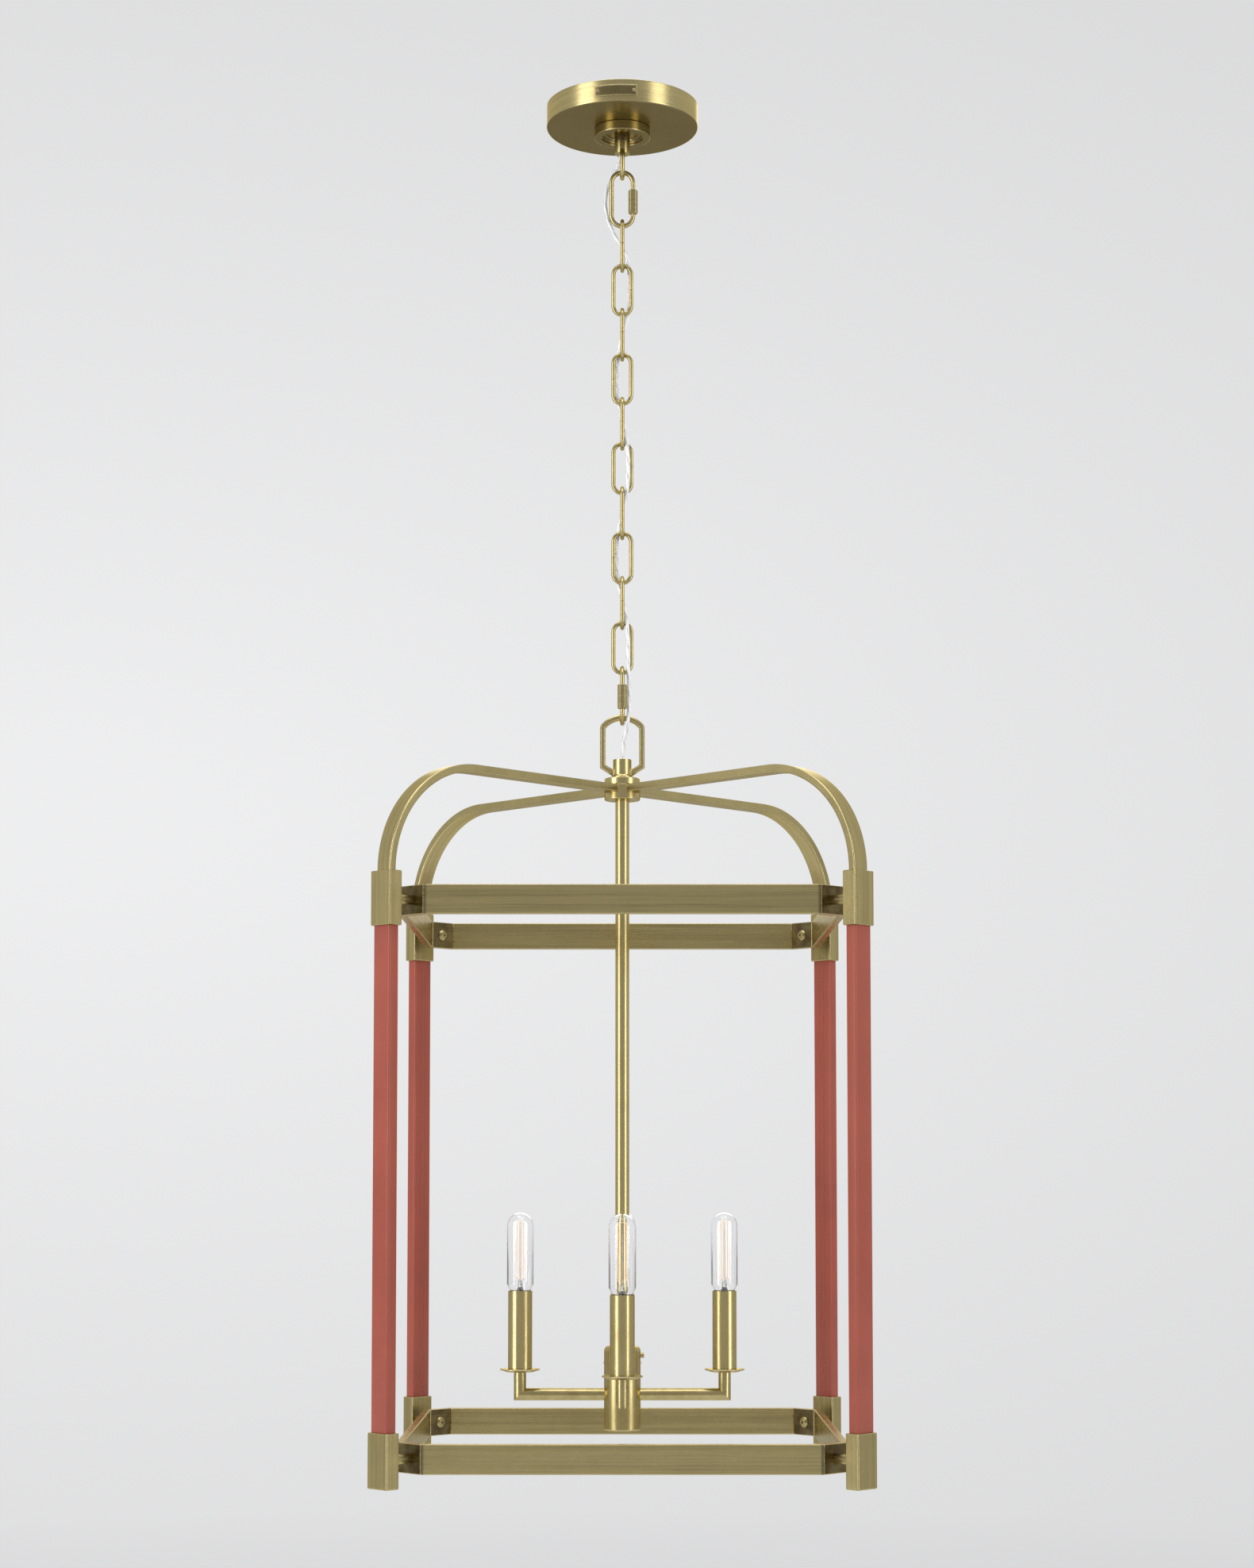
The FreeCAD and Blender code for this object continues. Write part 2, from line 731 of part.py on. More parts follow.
def lantern_loop():
    """An arched flat-sided loop that runs down into a bored round head."""
    body = doc.addObject("PartDesign::Body", "arched_loop")
    half = (s.loop_wide - s.loop_bar) / 2
    arch_centre = loop_top - s.loop_arch
    arch_run = s.loop_arch - s.loop_shoulder
    side_run = half - s.loop_shoulder
    shoulder_height = arch_centre + root(arch_run * arch_run - side_run * side_run)
    side_bottom = loop_top - s.loop_side
    foot_height = loop_top - s.loop_foot
    foot_reach = s.head_radius * 0.6
    angle = math.atan2(value(shoulder_height - arch_centre), value(side_run))
    path = sketch_on(body, "XZ_Plane", "path")
    arch = Part.Circle(Vector(0, value(arch_centre), 0), Vector(0, 0, 1), value(s.loop_arch))
    path.addGeometry(Part.ArcOfCircle(arch, angle, math.pi / 2))
    spot = Vector(value(side_run), value(shoulder_height), 0)
    shoulder = Part.Circle(spot, Vector(0, 0, 1), value(s.loop_shoulder))
    path.addGeometry(Part.ArcOfCircle(shoulder, 0, angle))
    high_point = Vector(value(half), value(shoulder_height), 0)
    low_point = Vector(value(half), value(side_bottom), 0)
    foot_point = Vector(value(foot_reach), value(foot_height), 0)
    path.addGeometry(Part.LineSegment(high_point, low_point))
    path.addGeometry(Part.LineSegment(low_point, foot_point))
    path.addConstraint(Sketcher.Constraint("PointOnObject", 0, 3, -2))
    path.addConstraint(Sketcher.Constraint("PointOnObject", 0, 2, -2))
    path.addConstraint(Sketcher.Constraint("Tangent", 0, 1, 1, 2))
    path.addConstraint(Sketcher.Constraint("Tangent", 1, 1, 2, 1))
    path.addConstraint(Sketcher.Constraint("Coincident", 2, 2, 3, 1))
    path.addConstraint(Sketcher.Constraint("Vertical", 2))
    dimension(path, "Radius", s.loop_arch, 0)
    dimension(path, "Radius", s.loop_shoulder, 1)
    dimension(path, "DistanceY", -arch_centre, 0, 3, -1, 1)
    pin(path, 2, 2, half, side_bottom)
    pin(path, 3, 2, foot_reach, foot_height)
    corner = 1.1
    deep = s.loop_bar_deep / 2
    high = s.loop_bar / 2
    section_corners = [(deep - corner, loop_top - high), (deep, loop_top - high + corner)]
    section_corners += [(deep, loop_top + high - corner), (deep - corner, loop_top + high)]
    section_corners += [(corner - deep, loop_top + high), (-deep, loop_top + high - corner)]
    section_corners += [(-deep, loop_top - high + corner), (corner - deep, loop_top - high)]
    section = outline(body, "YZ_Plane", section_corners, "section")
    doc.recompute()
    bar = body.newObject("PartDesign::AdditivePipe", "bar")
    bar.Profile = section
    bar.Spine = path
    bar.Transition = "Right corner"
    doc.recompute()
    mirror = body.newObject("PartDesign::Mirrored", "other_side")
    mirror.Originals = [bar]
    mirror.MirrorPlane = (body_plane(body, "YZ_Plane"), [""])
    body.Tip = mirror
    doc.recompute()
    neck_top = hub_top + s.neck_high / 2
    profile = [(s.barrel_bore, head_top), (s.head_radius, head_top), (s.head_radius, head_bottom)]
    profile += [(s.neck_radius, neck_top), (s.neck_radius, hub_top), (s.barrel_bore, hub_top)]
    revolve(body, profile)
    piece("lantern_loop", body)


def hub():
    """Two clamping discs; the lower one has webs that stand between the arms."""
    edge = 0.8

    def ring(top, bottom):
        return [(s.stem_radius, top), (s.hub_radius, top), (s.hub_radius, bottom), (s.stem_radius, bottom)]

    rounds = [(s.hub_radius, height, edge) for height in (hub_top, arm_top)]
    piece("hub_upper_disc", turned(ring(hub_top, arm_top), *rounds))
    disc = turned(ring(arm_top, hub_bottom), (s.hub_radius, hub_bottom, edge))
    channels = []
    for turn in (45, 135):
        centre = (0, 0, arm_bottom + s.arm_thick)
        channels.append(block(s.hub_radius * 4, s.arm_wide, s.arm_thick * 2, centre, turn))
    piece("hub_lower_disc", cut(disc, *channels))


def stem():
    bottom = cluster_top - s.stem_in_cluster
    length = hub_top - bottom
    tube = rod(s.stem_radius, length, (0, 0, bottom))
    piece("stem_tube", cut(tube, rod(s.stem_bore, length + 2, (0, 0, bottom - 1))))


def arm(name, turn):
    """A flat bar that runs out from the hub and bends down into a collar."""
    body = doc.addObject("PartDesign::Body", "arm")
    outside = s.post_reach + s.arm_thick / 2
    inside = outside - s.arm_thick
    centre_out = outside - s.arm_bend
    centre_up = arm_top - s.arm_bend
    tip = collar_top - s.arm_in_collar
    inner_bend = s.arm_bend - s.arm_thick
    side = sketch_on(body, "XZ_Plane", "side_view")
    centre = Vector(value(centre_out), value(centre_up), 0)
    corners = {
        "hub_top": (s.arm_start, arm_top), "bend_top": (centre_out, arm_top),
        "bend_out": (outside, centre_up), "tip_out": (outside, tip), "tip_in": (inside, tip),
        "bend_in": (inside, centre_up), "bend_low": (centre_out, arm_bottom),
        "hub_low": (s.arm_start, arm_bottom),
    }
    spots = {key: Vector(value(across), value(up), 0) for key, (across, up) in corners.items()}
    side.addGeometry(Part.LineSegment(spots["hub_top"], spots["bend_top"]))
    outer = Part.Circle(centre, Vector(0, 0, 1), value(s.arm_bend))
    side.addGeometry(Part.ArcOfCircle(outer, 0, math.pi / 2))
    side.addGeometry(Part.LineSegment(spots["bend_out"], spots["tip_out"]))
    side.addGeometry(Part.LineSegment(spots["tip_out"], spots["tip_in"]))
    side.addGeometry(Part.LineSegment(spots["tip_in"], spots["bend_in"]))
    inner = Part.Circle(centre, Vector(0, 0, 1), value(inner_bend))
    side.addGeometry(Part.ArcOfCircle(inner, 0, math.pi / 2))
    side.addGeometry(Part.LineSegment(spots["bend_low"], spots["hub_low"]))
    side.addGeometry(Part.LineSegment(spots["hub_low"], spots["hub_top"]))
    joints = ((0, 2, 1, 2), (1, 1, 2, 1), (2, 2, 3, 1), (3, 2, 4, 1))
    joints += ((4, 2, 5, 1), (5, 2, 6, 1), (6, 2, 7, 1), (7, 2, 0, 1))
    for first, first_end, second, second_end in joints:
        side.addConstraint(Sketcher.Constraint("Coincident", first, first_end, second, second_end))
    starts = {0: "hub_top", 2: "bend_out", 3: "tip_out", 4: "tip_in", 6: "bend_low", 7: "hub_low"}
    for line, key in starts.items():
        pin(side, line, 1, *corners[key])
    pin(side, 0, 2, *corners["bend_top"])
    pin(side, 4, 2, *corners["bend_in"])
    dimension(side, "Radius", s.arm_bend, 1)
    dimension(side, "Radius", inner_bend, 5)
    bar = body.newObject("PartDesign::Pad", "bar")
    bar.Profile = side
    bar.SideType = "Symmetric"
    bind(bar, "Length", s.arm_wide)
    break_edges(body, bar, s.arm_edge)
    put(body, (0, 0, 0), about_z(turn))
    piece(f"arm_{name}", body)


# ---- posts and collars ----

def post_collar(turn, low, arm_side):
    """A ferrule that takes the post's core, and on the upper ones also the arm's tip."""
    place = (s.post_reach, 0)
    body = plate(rectangle(s.collar_deep, s.collar_wide, place), low, s.collar_tall, s.collar_edge, turn)
    core_size = (s.core_deep, s.core_wide, s.core_in_collar)
    mouth = low + s.core_in_collar / 2 if arm_side else low + s.collar_tall - s.core_in_collar / 2
    tools = [block(*core_size, (s.post_reach, 0, mouth), turn)]
    if arm_side:
        arm_pocket = (s.arm_thick, s.arm_wide, s.arm_in_collar)
        pocket_height = low + s.collar_tall - s.arm_in_collar / 2
        tools.append(block(*arm_pocket, (s.post_reach, 0, pocket_height), turn))
    rail_middle = s.collar_tall - s.rail_below_collar_top - s.rail_high / 2
    screw_start = turned_point(s.post_reach - s.collar_deep, 0, low + rail_middle, turn)
    outward = turned_point(1, 0, 0, turn)
    tools.append(rod(s.screw_radius, s.collar_deep, screw_start, outward))
    return cut(body, *tools)


def posts():
    core_bottom = leather_bottom - s.core_in_collar
    core_long = s.leather_long + s.core_in_collar * 2
    core_middle = core_bottom + core_long / 2
    leather_middle = leather_bottom + s.leather_long / 2
    cores = []
    leathers = []
    collars = []
    for turn in CORNERS:
        centre = (s.post_reach, 0, core_middle)
        core = block(s.core_deep, s.core_wide, core_long, centre, turn)
        hollow_deep = s.core_deep - s.core_wall * 2
        hollow_wide = s.core_wide - s.core_wall * 2
        cores.append(cut(core, block(hollow_deep, hollow_wide, core_long + 2, centre, turn)))
        wrap = leather_wrap(turn)
        middle = (s.post_reach, 0, leather_middle)
        hollow = block(s.core_deep, s.core_wide, s.leather_long + 2, middle, turn)
        leathers.append(cut(wrap, hollow))
        collars.append(post_collar(turn, leather_top, True))
        collars.append(post_collar(turn, lantern_bottom, False))
    piece("post_cores", group(*cores))
    piece("leather_wraps", group(*leathers))
    piece("post_collars", group(*collars))


def leather_wrap(turn):
    """The outer shape of a post's leather, with its long edges rounded."""
    body = doc.addObject("PartDesign::Body", "leather")
    pad = body.newObject("PartDesign::Pad", "pad")
    plan = rectangle(s.leather_deep, s.leather_wide, (s.post_reach, 0))
    pad.Profile = outline(body, "XY_Plane", plan)
    bind(pad, "Length", s.leather_long)
    doc.recompute()
    upright = [number for number, edge in enumerate(pad.Shape.Edges, start=1)
               if abs(edge.Length - value(s.leather_long)) < 0.01]
    rounding = body.newObject("PartDesign::Fillet", "rounding")
    rounding.Base = (pad, [f"Edge{number}" for number in upright])
    bind(rounding, "Radius", s.leather_round)
    return put(body, (0, 0, leather_bottom), about_z(turn))


# ---- rails, corner plates and their fixings ----

def rails(label, top):
    """Four straight flat bars of a ring, mitred where they meet the corner plates."""
    inside = s.rail_face - s.rail_thick
    inner_bend = s.rail_bend - s.rail_thick * math.tan(math.radians(22.5))
    plan = [(s.rail_bend, -s.rail_face), (inner_bend, -inside)]
    plan += [(-inner_bend, -inside), (-s.rail_bend, -s.rail_face)]
    bars = []
    for turn in (0, 90, 180, 270):
        bars.append(plate(plan, top - s.rail_high, s.rail_high, s.rail_edge, turn))
    piece(label, group(*bars))


def corner_fixings():
    """Corner plates, and the spacers and socket screws that hold them off the collars."""
    inside = s.rail_face - s.rail_thick
    inner_bend = s.rail_bend - s.rail_thick * math.tan(math.radians(22.5))
    outer_reach = (s.rail_face + s.rail_bend) / math.sqrt(2)
    outer_half = (s.rail_face - s.rail_bend) / math.sqrt(2)
    inner_reach = (inside + inner_bend) / math.sqrt(2)
    inner_half = (inside - inner_bend) / math.sqrt(2)
    spacer_long = s.post_reach - s.collar_deep / 2 - outer_reach
    plan = [(outer_reach, -outer_half), (outer_reach, outer_half)]
    plan += [(inner_reach, inner_half), (inner_reach, -inner_half)]
    screw_long = s.post_reach - s.core_deep / 2 - inner_reach
    plates = []
    spacers = []
    screws = []
    for top in (upper_rail_top, lower_rail_top):
        middle = top - s.rail_high / 2
        for turn in CORNERS:
            outward = turned_point(1, 0, 0, turn)
            hole_start = turned_point(inner_reach - 2, 0, middle, turn)
            blank = plate(plan, top - s.rail_high, s.rail_high, s.rail_edge, turn)
            plates.append(cut(blank, rod(s.screw_radius, s.rail_thick + 4, hole_start, outward)))
            spacer_start = turned_point(outer_reach, 0, middle, turn)
            spacer = rod(s.spacer_radius, spacer_long, spacer_start, outward)
            spacers.append(cut(spacer, rod(s.screw_radius, spacer_long, spacer_start, outward)))
            head_start = turned_point(inner_reach - s.screw_head_high, 0, middle, turn)
            dome_place = turned_point(inner_reach + s.screw_head * 0.55, 0, middle, turn)
            head_round = ball(s.screw_head * 1.2, dome_place)
            head = common(rod(s.screw_head, s.screw_head_high, head_start, outward), head_round)
            shank = rod(s.screw_radius, screw_long, turned_point(inner_reach, 0, middle, turn), outward)
            key = rod(s.screw_key / 2, s.screw_head_high * 0.6, head_start, outward)
            screws.append(cut(join(head, shank), key))
    piece("corner_plates", group(*plates))
    piece("standoff_spacers", group(*spacers))
    piece("standoff_screws", group(*screws))


# ---- candle cluster ----

def cluster():
    """The hollow round body that joins the stem and the four candle arms."""
    chamber = s.cluster_radius - s.cluster_wall
    neck = cluster_top - s.stem_in_cluster
    ceiling = neck - s.cluster_wall
    profile = [(s.stem_radius, cluster_top), (s.cluster_radius, cluster_top)]
    profile += [(s.cluster_radius, cluster_bottom), (chamber, cluster_bottom)]
    profile += [(chamber, ceiling), (s.stem_bore, ceiling), (s.stem_bore, neck), (s.stem_radius, neck)]
    shell = turned(profile, (s.cluster_radius, cluster_top, s.cluster_round))
    holes = []
    for turn in CANDLES:
        start = (0, 0, candle_arm_height)
        holes.append(rod(s.candle_arm_radius, s.cluster_radius * 2, start, turned_point(1, 0, 0, turn)))
    screw_height = cluster_top - s.stem_in_cluster / 2 - s.cluster_round / 2
    holes.append(rod(s.set_screw_radius, s.cluster_radius * 2, (0, 0, screw_height), (1, 0, 0)))
    piece("cluster_body", cut(shell, *holes))
    cap_bottom = cluster_bottom - s.cap_high
    plug = chamber
    plug_top = cluster_bottom + s.cap_high / 2
    cap = [(0, plug_top), (plug, plug_top), (plug, cluster_bottom), (s.cluster_radius, cluster_bottom)]
    cap += [(s.cluster_radius, cap_bottom), (0, cap_bottom)]
    piece("cluster_cap", turned(cap, (s.cluster_radius, cap_bottom, 1.6)))
    reach = s.cluster_radius - s.stem_radius + 1
    shank = rod(s.set_screw_radius, reach, (s.stem_radius, 0, screw_height), (1, 0, 0))
    head = rod(2.3, 2.6, (s.cluster_radius + 0.4, 0, screw_height), (1, 0, 0))
    piece("cluster_set_screw", join(shank, head))


def candle_arm(turn):
    """A tube with a mitred elbow, from the cluster's wall up to a drip pan."""
    inner_end = s.cluster_radius - s.cluster_wall
    bore = s.candle_arm_radius - s.candle_arm_wall
    body = doc.addObject("PartDesign::Body", "candle_arm")
    for name, radius in (("AdditivePipe", s.candle_arm_radius), ("SubtractivePipe", bore)):
        path = sketch_on(body, "XZ_Plane", "path")
        corner = Vector(value(s.candle_reach), 0, 0)
        path.addGeometry(Part.LineSegment(Vector(0, 0, 0), corner))
        path.addGeometry(Part.LineSegment(corner, corner + Vector(0, value(s.candle_arm_rise), 0)))
        path.addConstraint(Sketcher.Constraint("Coincident", 0, 2, 1, 1))
        path.addConstraint(Sketcher.Constraint("Coincident", 0, 1, -1, 1))
        pin(path, 0, 2, s.candle_reach, 0)
        pin(path, 1, 2, s.candle_reach, s.candle_arm_rise)
        section = sketch_on(body, "YZ_Plane", "section")
        section.addGeometry(Part.Circle(Vector(0, 0, 0), Vector(0, 0, 1), value(radius)))
        section.addConstraint(Sketcher.Constraint("Coincident", 0, 3, -1, 1))
        dimension(section, "Radius", radius, 0)
        doc.recompute()
        tube = body.newObject(f"PartDesign::{name}", "tube")
        tube.Profile = section
        tube.Spine = path
        tube.Transition = "Right corner"
        doc.recompute()
    put(body, (0, 0, candle_arm_height), about_z(turn))
    trim = rod(inner_end, s.cluster_high, (0, 0, cluster_bottom))
    return cut(body, trim)


def candles():
    """The four arms' tops: drip pan, candle sleeve and lamp socket on each."""
    arms = []
    pans = []
    sleeves = []
    sockets = []
    bore = s.candle_arm_radius - s.candle_arm_wall
    for turn in CANDLES:
        across, depth, _ = turned_point(s.candle_reach, 0, 0, turn)
        arms.append(candle_arm(turn))
        rim = s.pan_radius
        flat = s.sleeve_radius + 1.5
        rim_top = pan_seat + s.pan_high
        profile = [(bore, pan_seat), (flat, pan_seat), (rim, rim_top - s.pan_thick), (rim, rim_top)]
        profile += [(flat - 0.3, sleeve_seat), (bore, sleeve_seat)]
        pans.append(put(turned(profile), (across, depth, 0)))
        start = (across, depth, sleeve_seat)
        tube = rod(s.sleeve_radius, s.sleeve_high, start)
        inside = rod(s.sleeve_radius - s.sleeve_wall, s.sleeve_high + 2, (across, depth, sleeve_seat - 1))
        sleeves.append(cut(tube, inside))
        holder = rod(s.socket_radius, s.socket_high, start)
        mouth_low = socket_top - s.socket_deep
        mouth = rod(s.base_radius + s.running_gap, s.socket_deep + 1, (across, depth, mouth_low))
        leads = rod(2.0, s.socket_high, (across, depth, sleeve_seat - 1))
        sockets.append(cut(holder, mouth, leads))
    piece("candle_arms", group(*arms))
    piece("drip_pans", group(*pans))
    piece("candle_sleeves", group(*sleeves))
    piece("lamp_sockets", group(*sockets))


def tube_bulb(name, turn):
    """A tubular candelabra bulb: glass, screw base, and filament on its glass mount."""
    across, depth, _ = turned_point(s.candle_reach, 0, 0, turn)
    glass_bottom = sleeve_top - s.bulb_sink
    glass_top = sleeve_top + s.bulb_high

    def glass(radius, neck, dome_top, taper, low):
        dome_centre = dome_top - radius
        shoulder = glass_bottom + taper
        parts = [ball(radius, (across, depth, dome_centre))]
        parts.append(rod(radius, dome_centre - shoulder, (across, depth, shoulder)))
        parts.append(cone(neck, radius, shoulder - low, (across, depth, low)))
        return join(*parts)

    outer = glass(s.bulb_radius, s.bulb_neck, glass_top, s.bulb_taper, glass_bottom)
    inner_radius = s.bulb_radius - s.bulb_wall
    inner_neck = s.bulb_neck - s.bulb_wall
    inner = glass(inner_radius, inner_neck, glass_top - s.bulb_wall, s.bulb_taper, glass_bottom)
    piece(f"bulb_{name}_glass", cut(outer, inner))
    base_bottom = glass_bottom - s.base_long
    tip = 3.0
    shell = join(rod(s.base_radius, s.base_long - tip, (across, depth, base_bottom + tip)),
                 cone(3.0, s.base_radius, tip, (across, depth, base_bottom)))
    piece(f"bulb_{name}_base", shell)
    mount = cone(s.mount_foot, s.mount_head, s.bulb_taper, (across, depth, glass_bottom))
    wire = hairpin((across, depth, glass_bottom + s.bulb_taper))
    piece(f"bulb_{name}_filament", group(mount, wire))


def hairpin(place):
    """The filament, a wire that runs up from its glass mount, across and down again."""
    body = doc.addObject("PartDesign::Body", "hairpin")
    path = sketch_on(body, "XZ_Plane", "path")
    corners = [(-s.filament_spread, 0), (-s.filament_spread, s.filament_high)]
    corners += [(s.filament_spread, s.filament_high), (s.filament_spread, 0)]
    spots = [Vector(value(out), value(up), 0) for out, up in corners]
    for line in range(3):
        path.addGeometry(Part.LineSegment(spots[line], spots[line + 1]))
        pin(path, line, 1, *corners[line])
        pin(path, line, 2, *corners[line + 1])
    section = sketch_on(body, "XY_Plane", "section")
    section.addGeometry(Part.Circle(spots[0], Vector(0, 0, 1), value(s.filament_radius)))
    dimension(section, "Radius", s.filament_radius, 0)
    pin(section, 0, 3, *corners[0])
    doc.recompute()
    wire = body.newObject("PartDesign::AdditivePipe", "wire")
    wire.Profile = section
    wire.Spine = path
    wire.Transition = "Right corner"
    return put(body, place)


mounting_strap()
nipple_and_locknut()
ground_screw()
wire_connectors()
canopy()
badge()
canopy_loop()
screw_collar()
chain()
supply_cord()
lantern_loop()
hub()
stem()
for corner_name, corner_turn in zip(CORNER_NAMES, CORNERS):
    arm(corner_name, corner_turn)
posts()
rails("upper_rails", upper_rail_top)
rails("lower_rails", lower_rail_top)
corner_fixings()
cluster()
candles()
for candle_name, candle_turn in zip(CANDLE_NAMES, CANDLES):
    tube_bulb(candle_name, candle_turn)

doc.recompute()
for item in doc.Objects:
    if "Invalid" in item.State or "Error" in item.State:
        raise RuntimeError(f"{item.Label} failed: {item.State}")
for item in pieces:
    if item.Shape.isNull() or not item.Shape.isValid():
        raise RuntimeError(f"{item.Label} has no valid shape")

os.makedirs("parts", exist_ok=True)
for item in pieces:
    item.Shape.exportStep(f"parts/{item.Label}.step")
print(f"{len(pieces)} parts written")
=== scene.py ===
"""Finishes the lantern pendant: its metals, leather, glass and cord, and the studio it hangs in."""

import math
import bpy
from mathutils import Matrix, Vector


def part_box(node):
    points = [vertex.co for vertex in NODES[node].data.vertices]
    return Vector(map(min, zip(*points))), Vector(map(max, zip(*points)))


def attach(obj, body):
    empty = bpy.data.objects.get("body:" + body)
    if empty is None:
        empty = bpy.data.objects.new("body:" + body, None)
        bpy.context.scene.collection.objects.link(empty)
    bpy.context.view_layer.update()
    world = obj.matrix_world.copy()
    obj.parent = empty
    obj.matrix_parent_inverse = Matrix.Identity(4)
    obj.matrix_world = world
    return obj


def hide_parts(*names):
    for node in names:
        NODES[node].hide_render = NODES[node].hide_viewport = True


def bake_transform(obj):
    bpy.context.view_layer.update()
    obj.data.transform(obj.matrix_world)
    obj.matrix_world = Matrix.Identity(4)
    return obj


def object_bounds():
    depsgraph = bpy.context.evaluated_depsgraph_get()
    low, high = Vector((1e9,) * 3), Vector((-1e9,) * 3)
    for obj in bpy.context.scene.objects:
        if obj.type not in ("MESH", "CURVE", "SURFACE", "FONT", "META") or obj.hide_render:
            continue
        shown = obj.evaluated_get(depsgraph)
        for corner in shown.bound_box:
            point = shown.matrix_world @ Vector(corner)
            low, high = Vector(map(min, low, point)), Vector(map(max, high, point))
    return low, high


bl_info = {
    "name": "Lantern Pendant",
    "version": (1, 0, 0),
    "blender": (4, 5, 0),
    "location": "3D View > Sidebar > Lantern",
    "description": "Finishes a four-light open lantern pendant around its frame",
    "category": "Object",
}

import bmesh
import bpy
from mathutils import Matrix, Vector

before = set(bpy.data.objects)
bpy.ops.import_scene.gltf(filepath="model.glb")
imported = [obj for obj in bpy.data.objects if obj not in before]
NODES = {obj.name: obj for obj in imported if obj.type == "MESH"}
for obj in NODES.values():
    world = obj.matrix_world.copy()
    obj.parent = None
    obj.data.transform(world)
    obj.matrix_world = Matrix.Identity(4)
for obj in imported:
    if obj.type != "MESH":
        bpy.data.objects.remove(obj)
CAD_LOW, CAD_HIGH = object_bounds()

MM = 0.001
TOUCHING = 0.001 * MM  # points nearer than this are one
TWIST_LONG = 14 * MM  # along the cord, from one turn of its conductors to the next
BULBS = ("front", "right", "back", "left")
POST_TURNS = {"front_left": 225, "front_right": 315, "back_right": 45, "back_left": 135}
LINKS = [f"link_{number:02d}" for number in range(1, 11)]
HANGING_NODES = ["quick_link_top", *(f"chain_{link}" for link in LINKS), "quick_link_bottom"]

# The cord's route in millimetres, from the canopy loop's bore to the lantern's head.
CORD_ROUTE = [
    (0, 0, -24), (0.2, 0.1, -44), (-8, 5.2, -59), (-15.4, 5, -77), (-14.2, 4.6, -97),
    (-5.4, 2, -118), (4.6, 2.2, -133), (6.6, 5.6, -150), (6.2, 5.7, -180), (0.2, 2.6, -203),
    (-5, 5.3, -226), (-4.4, 5.4, -260), (0.2, 0.6, -281), (4.8, -5.2, -304), (5, -5.4, -342),
    (0, 0.4, -363), (-5, 5.4, -384), (-4.6, 5.4, -420), (0.2, 0.6, -440), (4.8, -5.2, -463),
    (5, -5.4, -497), (6, -3, -522), (5.6, -6.4, -545), (0.3, -0.2, -567), (0, 0, -588),
]


# ---- what a user would change ----

def colour(name, description, default):
    return bpy.props.FloatVectorProperty(
        name=name, description=description, default=default, size=3, min=0, max=1, subtype="COLOR"
    )


def length(name, description, default):
    return bpy.props.FloatProperty(
        name=name, description=description, default=default, min=0, precision=5, unit="LENGTH"
    )


class LanternFinishes(bpy.types.PropertyGroup):
    brass: colour("Brass", "Antique brass where it is neither worn nor dark", (0.57, 0.475, 0.225))
    brass_dark: colour("Dark brass", "Patina in seams and blotches", (0.25, 0.20, 0.088))
    # This nearly black colour is patina where bars join, and also painted shade on the corner plates and on
    # faces that look down.
    brass_seam_and_shade: colour("Brass seam", "Nearly black patina where bars join", (0.070, 0.046, 0.022))
    # This bright edge colour is partly wear and partly a painted highlight.
    brass_worn_and_highlight: colour("Worn brass", "Edges rubbed bright", (0.88, 0.81, 0.60))
    leather: colour("Leather", "Red-brown leather", (0.35, 0.068, 0.037))
    leather_dark: colour("Dark leather", "The leather's pores and seam", (0.20, 0.034, 0.020))
    thread: colour("Thread", "The waxed thread of the leather's seam", (0.13, 0.026, 0.016))
    cord: colour("Cord", "The cord's clear jacket", (0.86, 0.87, 0.88))
    conductor: colour("Conductor", "The silvery strands in the cord", (0.66, 0.67, 0.69))
    glow: colour("Glow", "Light of the filaments", (1.0, 0.55, 0.30))
    glow_strength: bpy.props.FloatProperty(
        name="Glow strength", description="How bright the filaments are", default=1.0, min=0
    )


class LanternSizes(bpy.types.PropertyGroup):
    cord_across: length("Cord", "The cord's diameter", 3.5 * MM)
    leather_round: length("Leather edge", "Radius of the leather's long edges", 1.5 * MM)
    seam_wide: length("Seam", "Width of the groove where the leather meets", 0.8 * MM)
    seam_deep: length("Seam depth", "Depth of that groove", 0.45 * MM)
    stitch_long: length("Stitch", "Length of a stitch", 2.6 * MM)
    stitch_pitch: length("Stitch pitch", "From one stitch to the next", 3.7 * MM)
    stitch_out: length("Stitch line", "From the seam to a row of stitches", 2.3 * MM)
    cage_radius: length("Filament cage", "Radius of the filament's cage", 3.5 * MM)
    cage_strands: bpy.props.IntProperty(
        name="Filament strands", description="How often the wire runs up and down", default=6, min=2
    )
    cage_wire: length("Filament wire", "Radius of the glowing wire", 0.21 * MM)


class LanternStage(bpy.types.PropertyGroup):
    lens: bpy.props.FloatProperty(
        name="Lens", description="The camera's focal length", default=65.34, min=1, unit="CAMERA"
    )
    distance: length("Distance", "From the camera to the lantern's axis", 2.4518)
    below: length("Below the ceiling", "How far below the ceiling the camera is", 0.941)
    tilt: bpy.props.FloatProperty(
        name="Tilt", description="How far the camera looks up", default=math.radians(4), subtype="ANGLE"
    )
    shift_x: bpy.props.FloatProperty(
        name="Shift across", description="How far the view is shifted sideways", default=0.003
    )
    shift_y: bpy.props.FloatProperty(
        name="Shift up", description="How far the view is shifted up", default=0.1236
    )
    floor_below: length("Floor", "How far below the lantern the floor is", 0.56)
    background: colour("Background", "The pale wall behind", (0.775, 0.778, 0.785))


def finishes():
    return bpy.context.scene.lantern_finishes


def sizes():
    return bpy.context.scene.lantern_sizes


# ---- selecting and editing ----

def deselect():
    if bpy.context.mode != "OBJECT":
        bpy.ops.object.mode_set(mode="OBJECT")
    bpy.ops.object.select_all(action="DESELECT")


def only(piece):
    """Makes piece the one selected and active object."""
    deselect()
    piece.select_set(True)
    bpy.context.view_layer.objects.active = piece


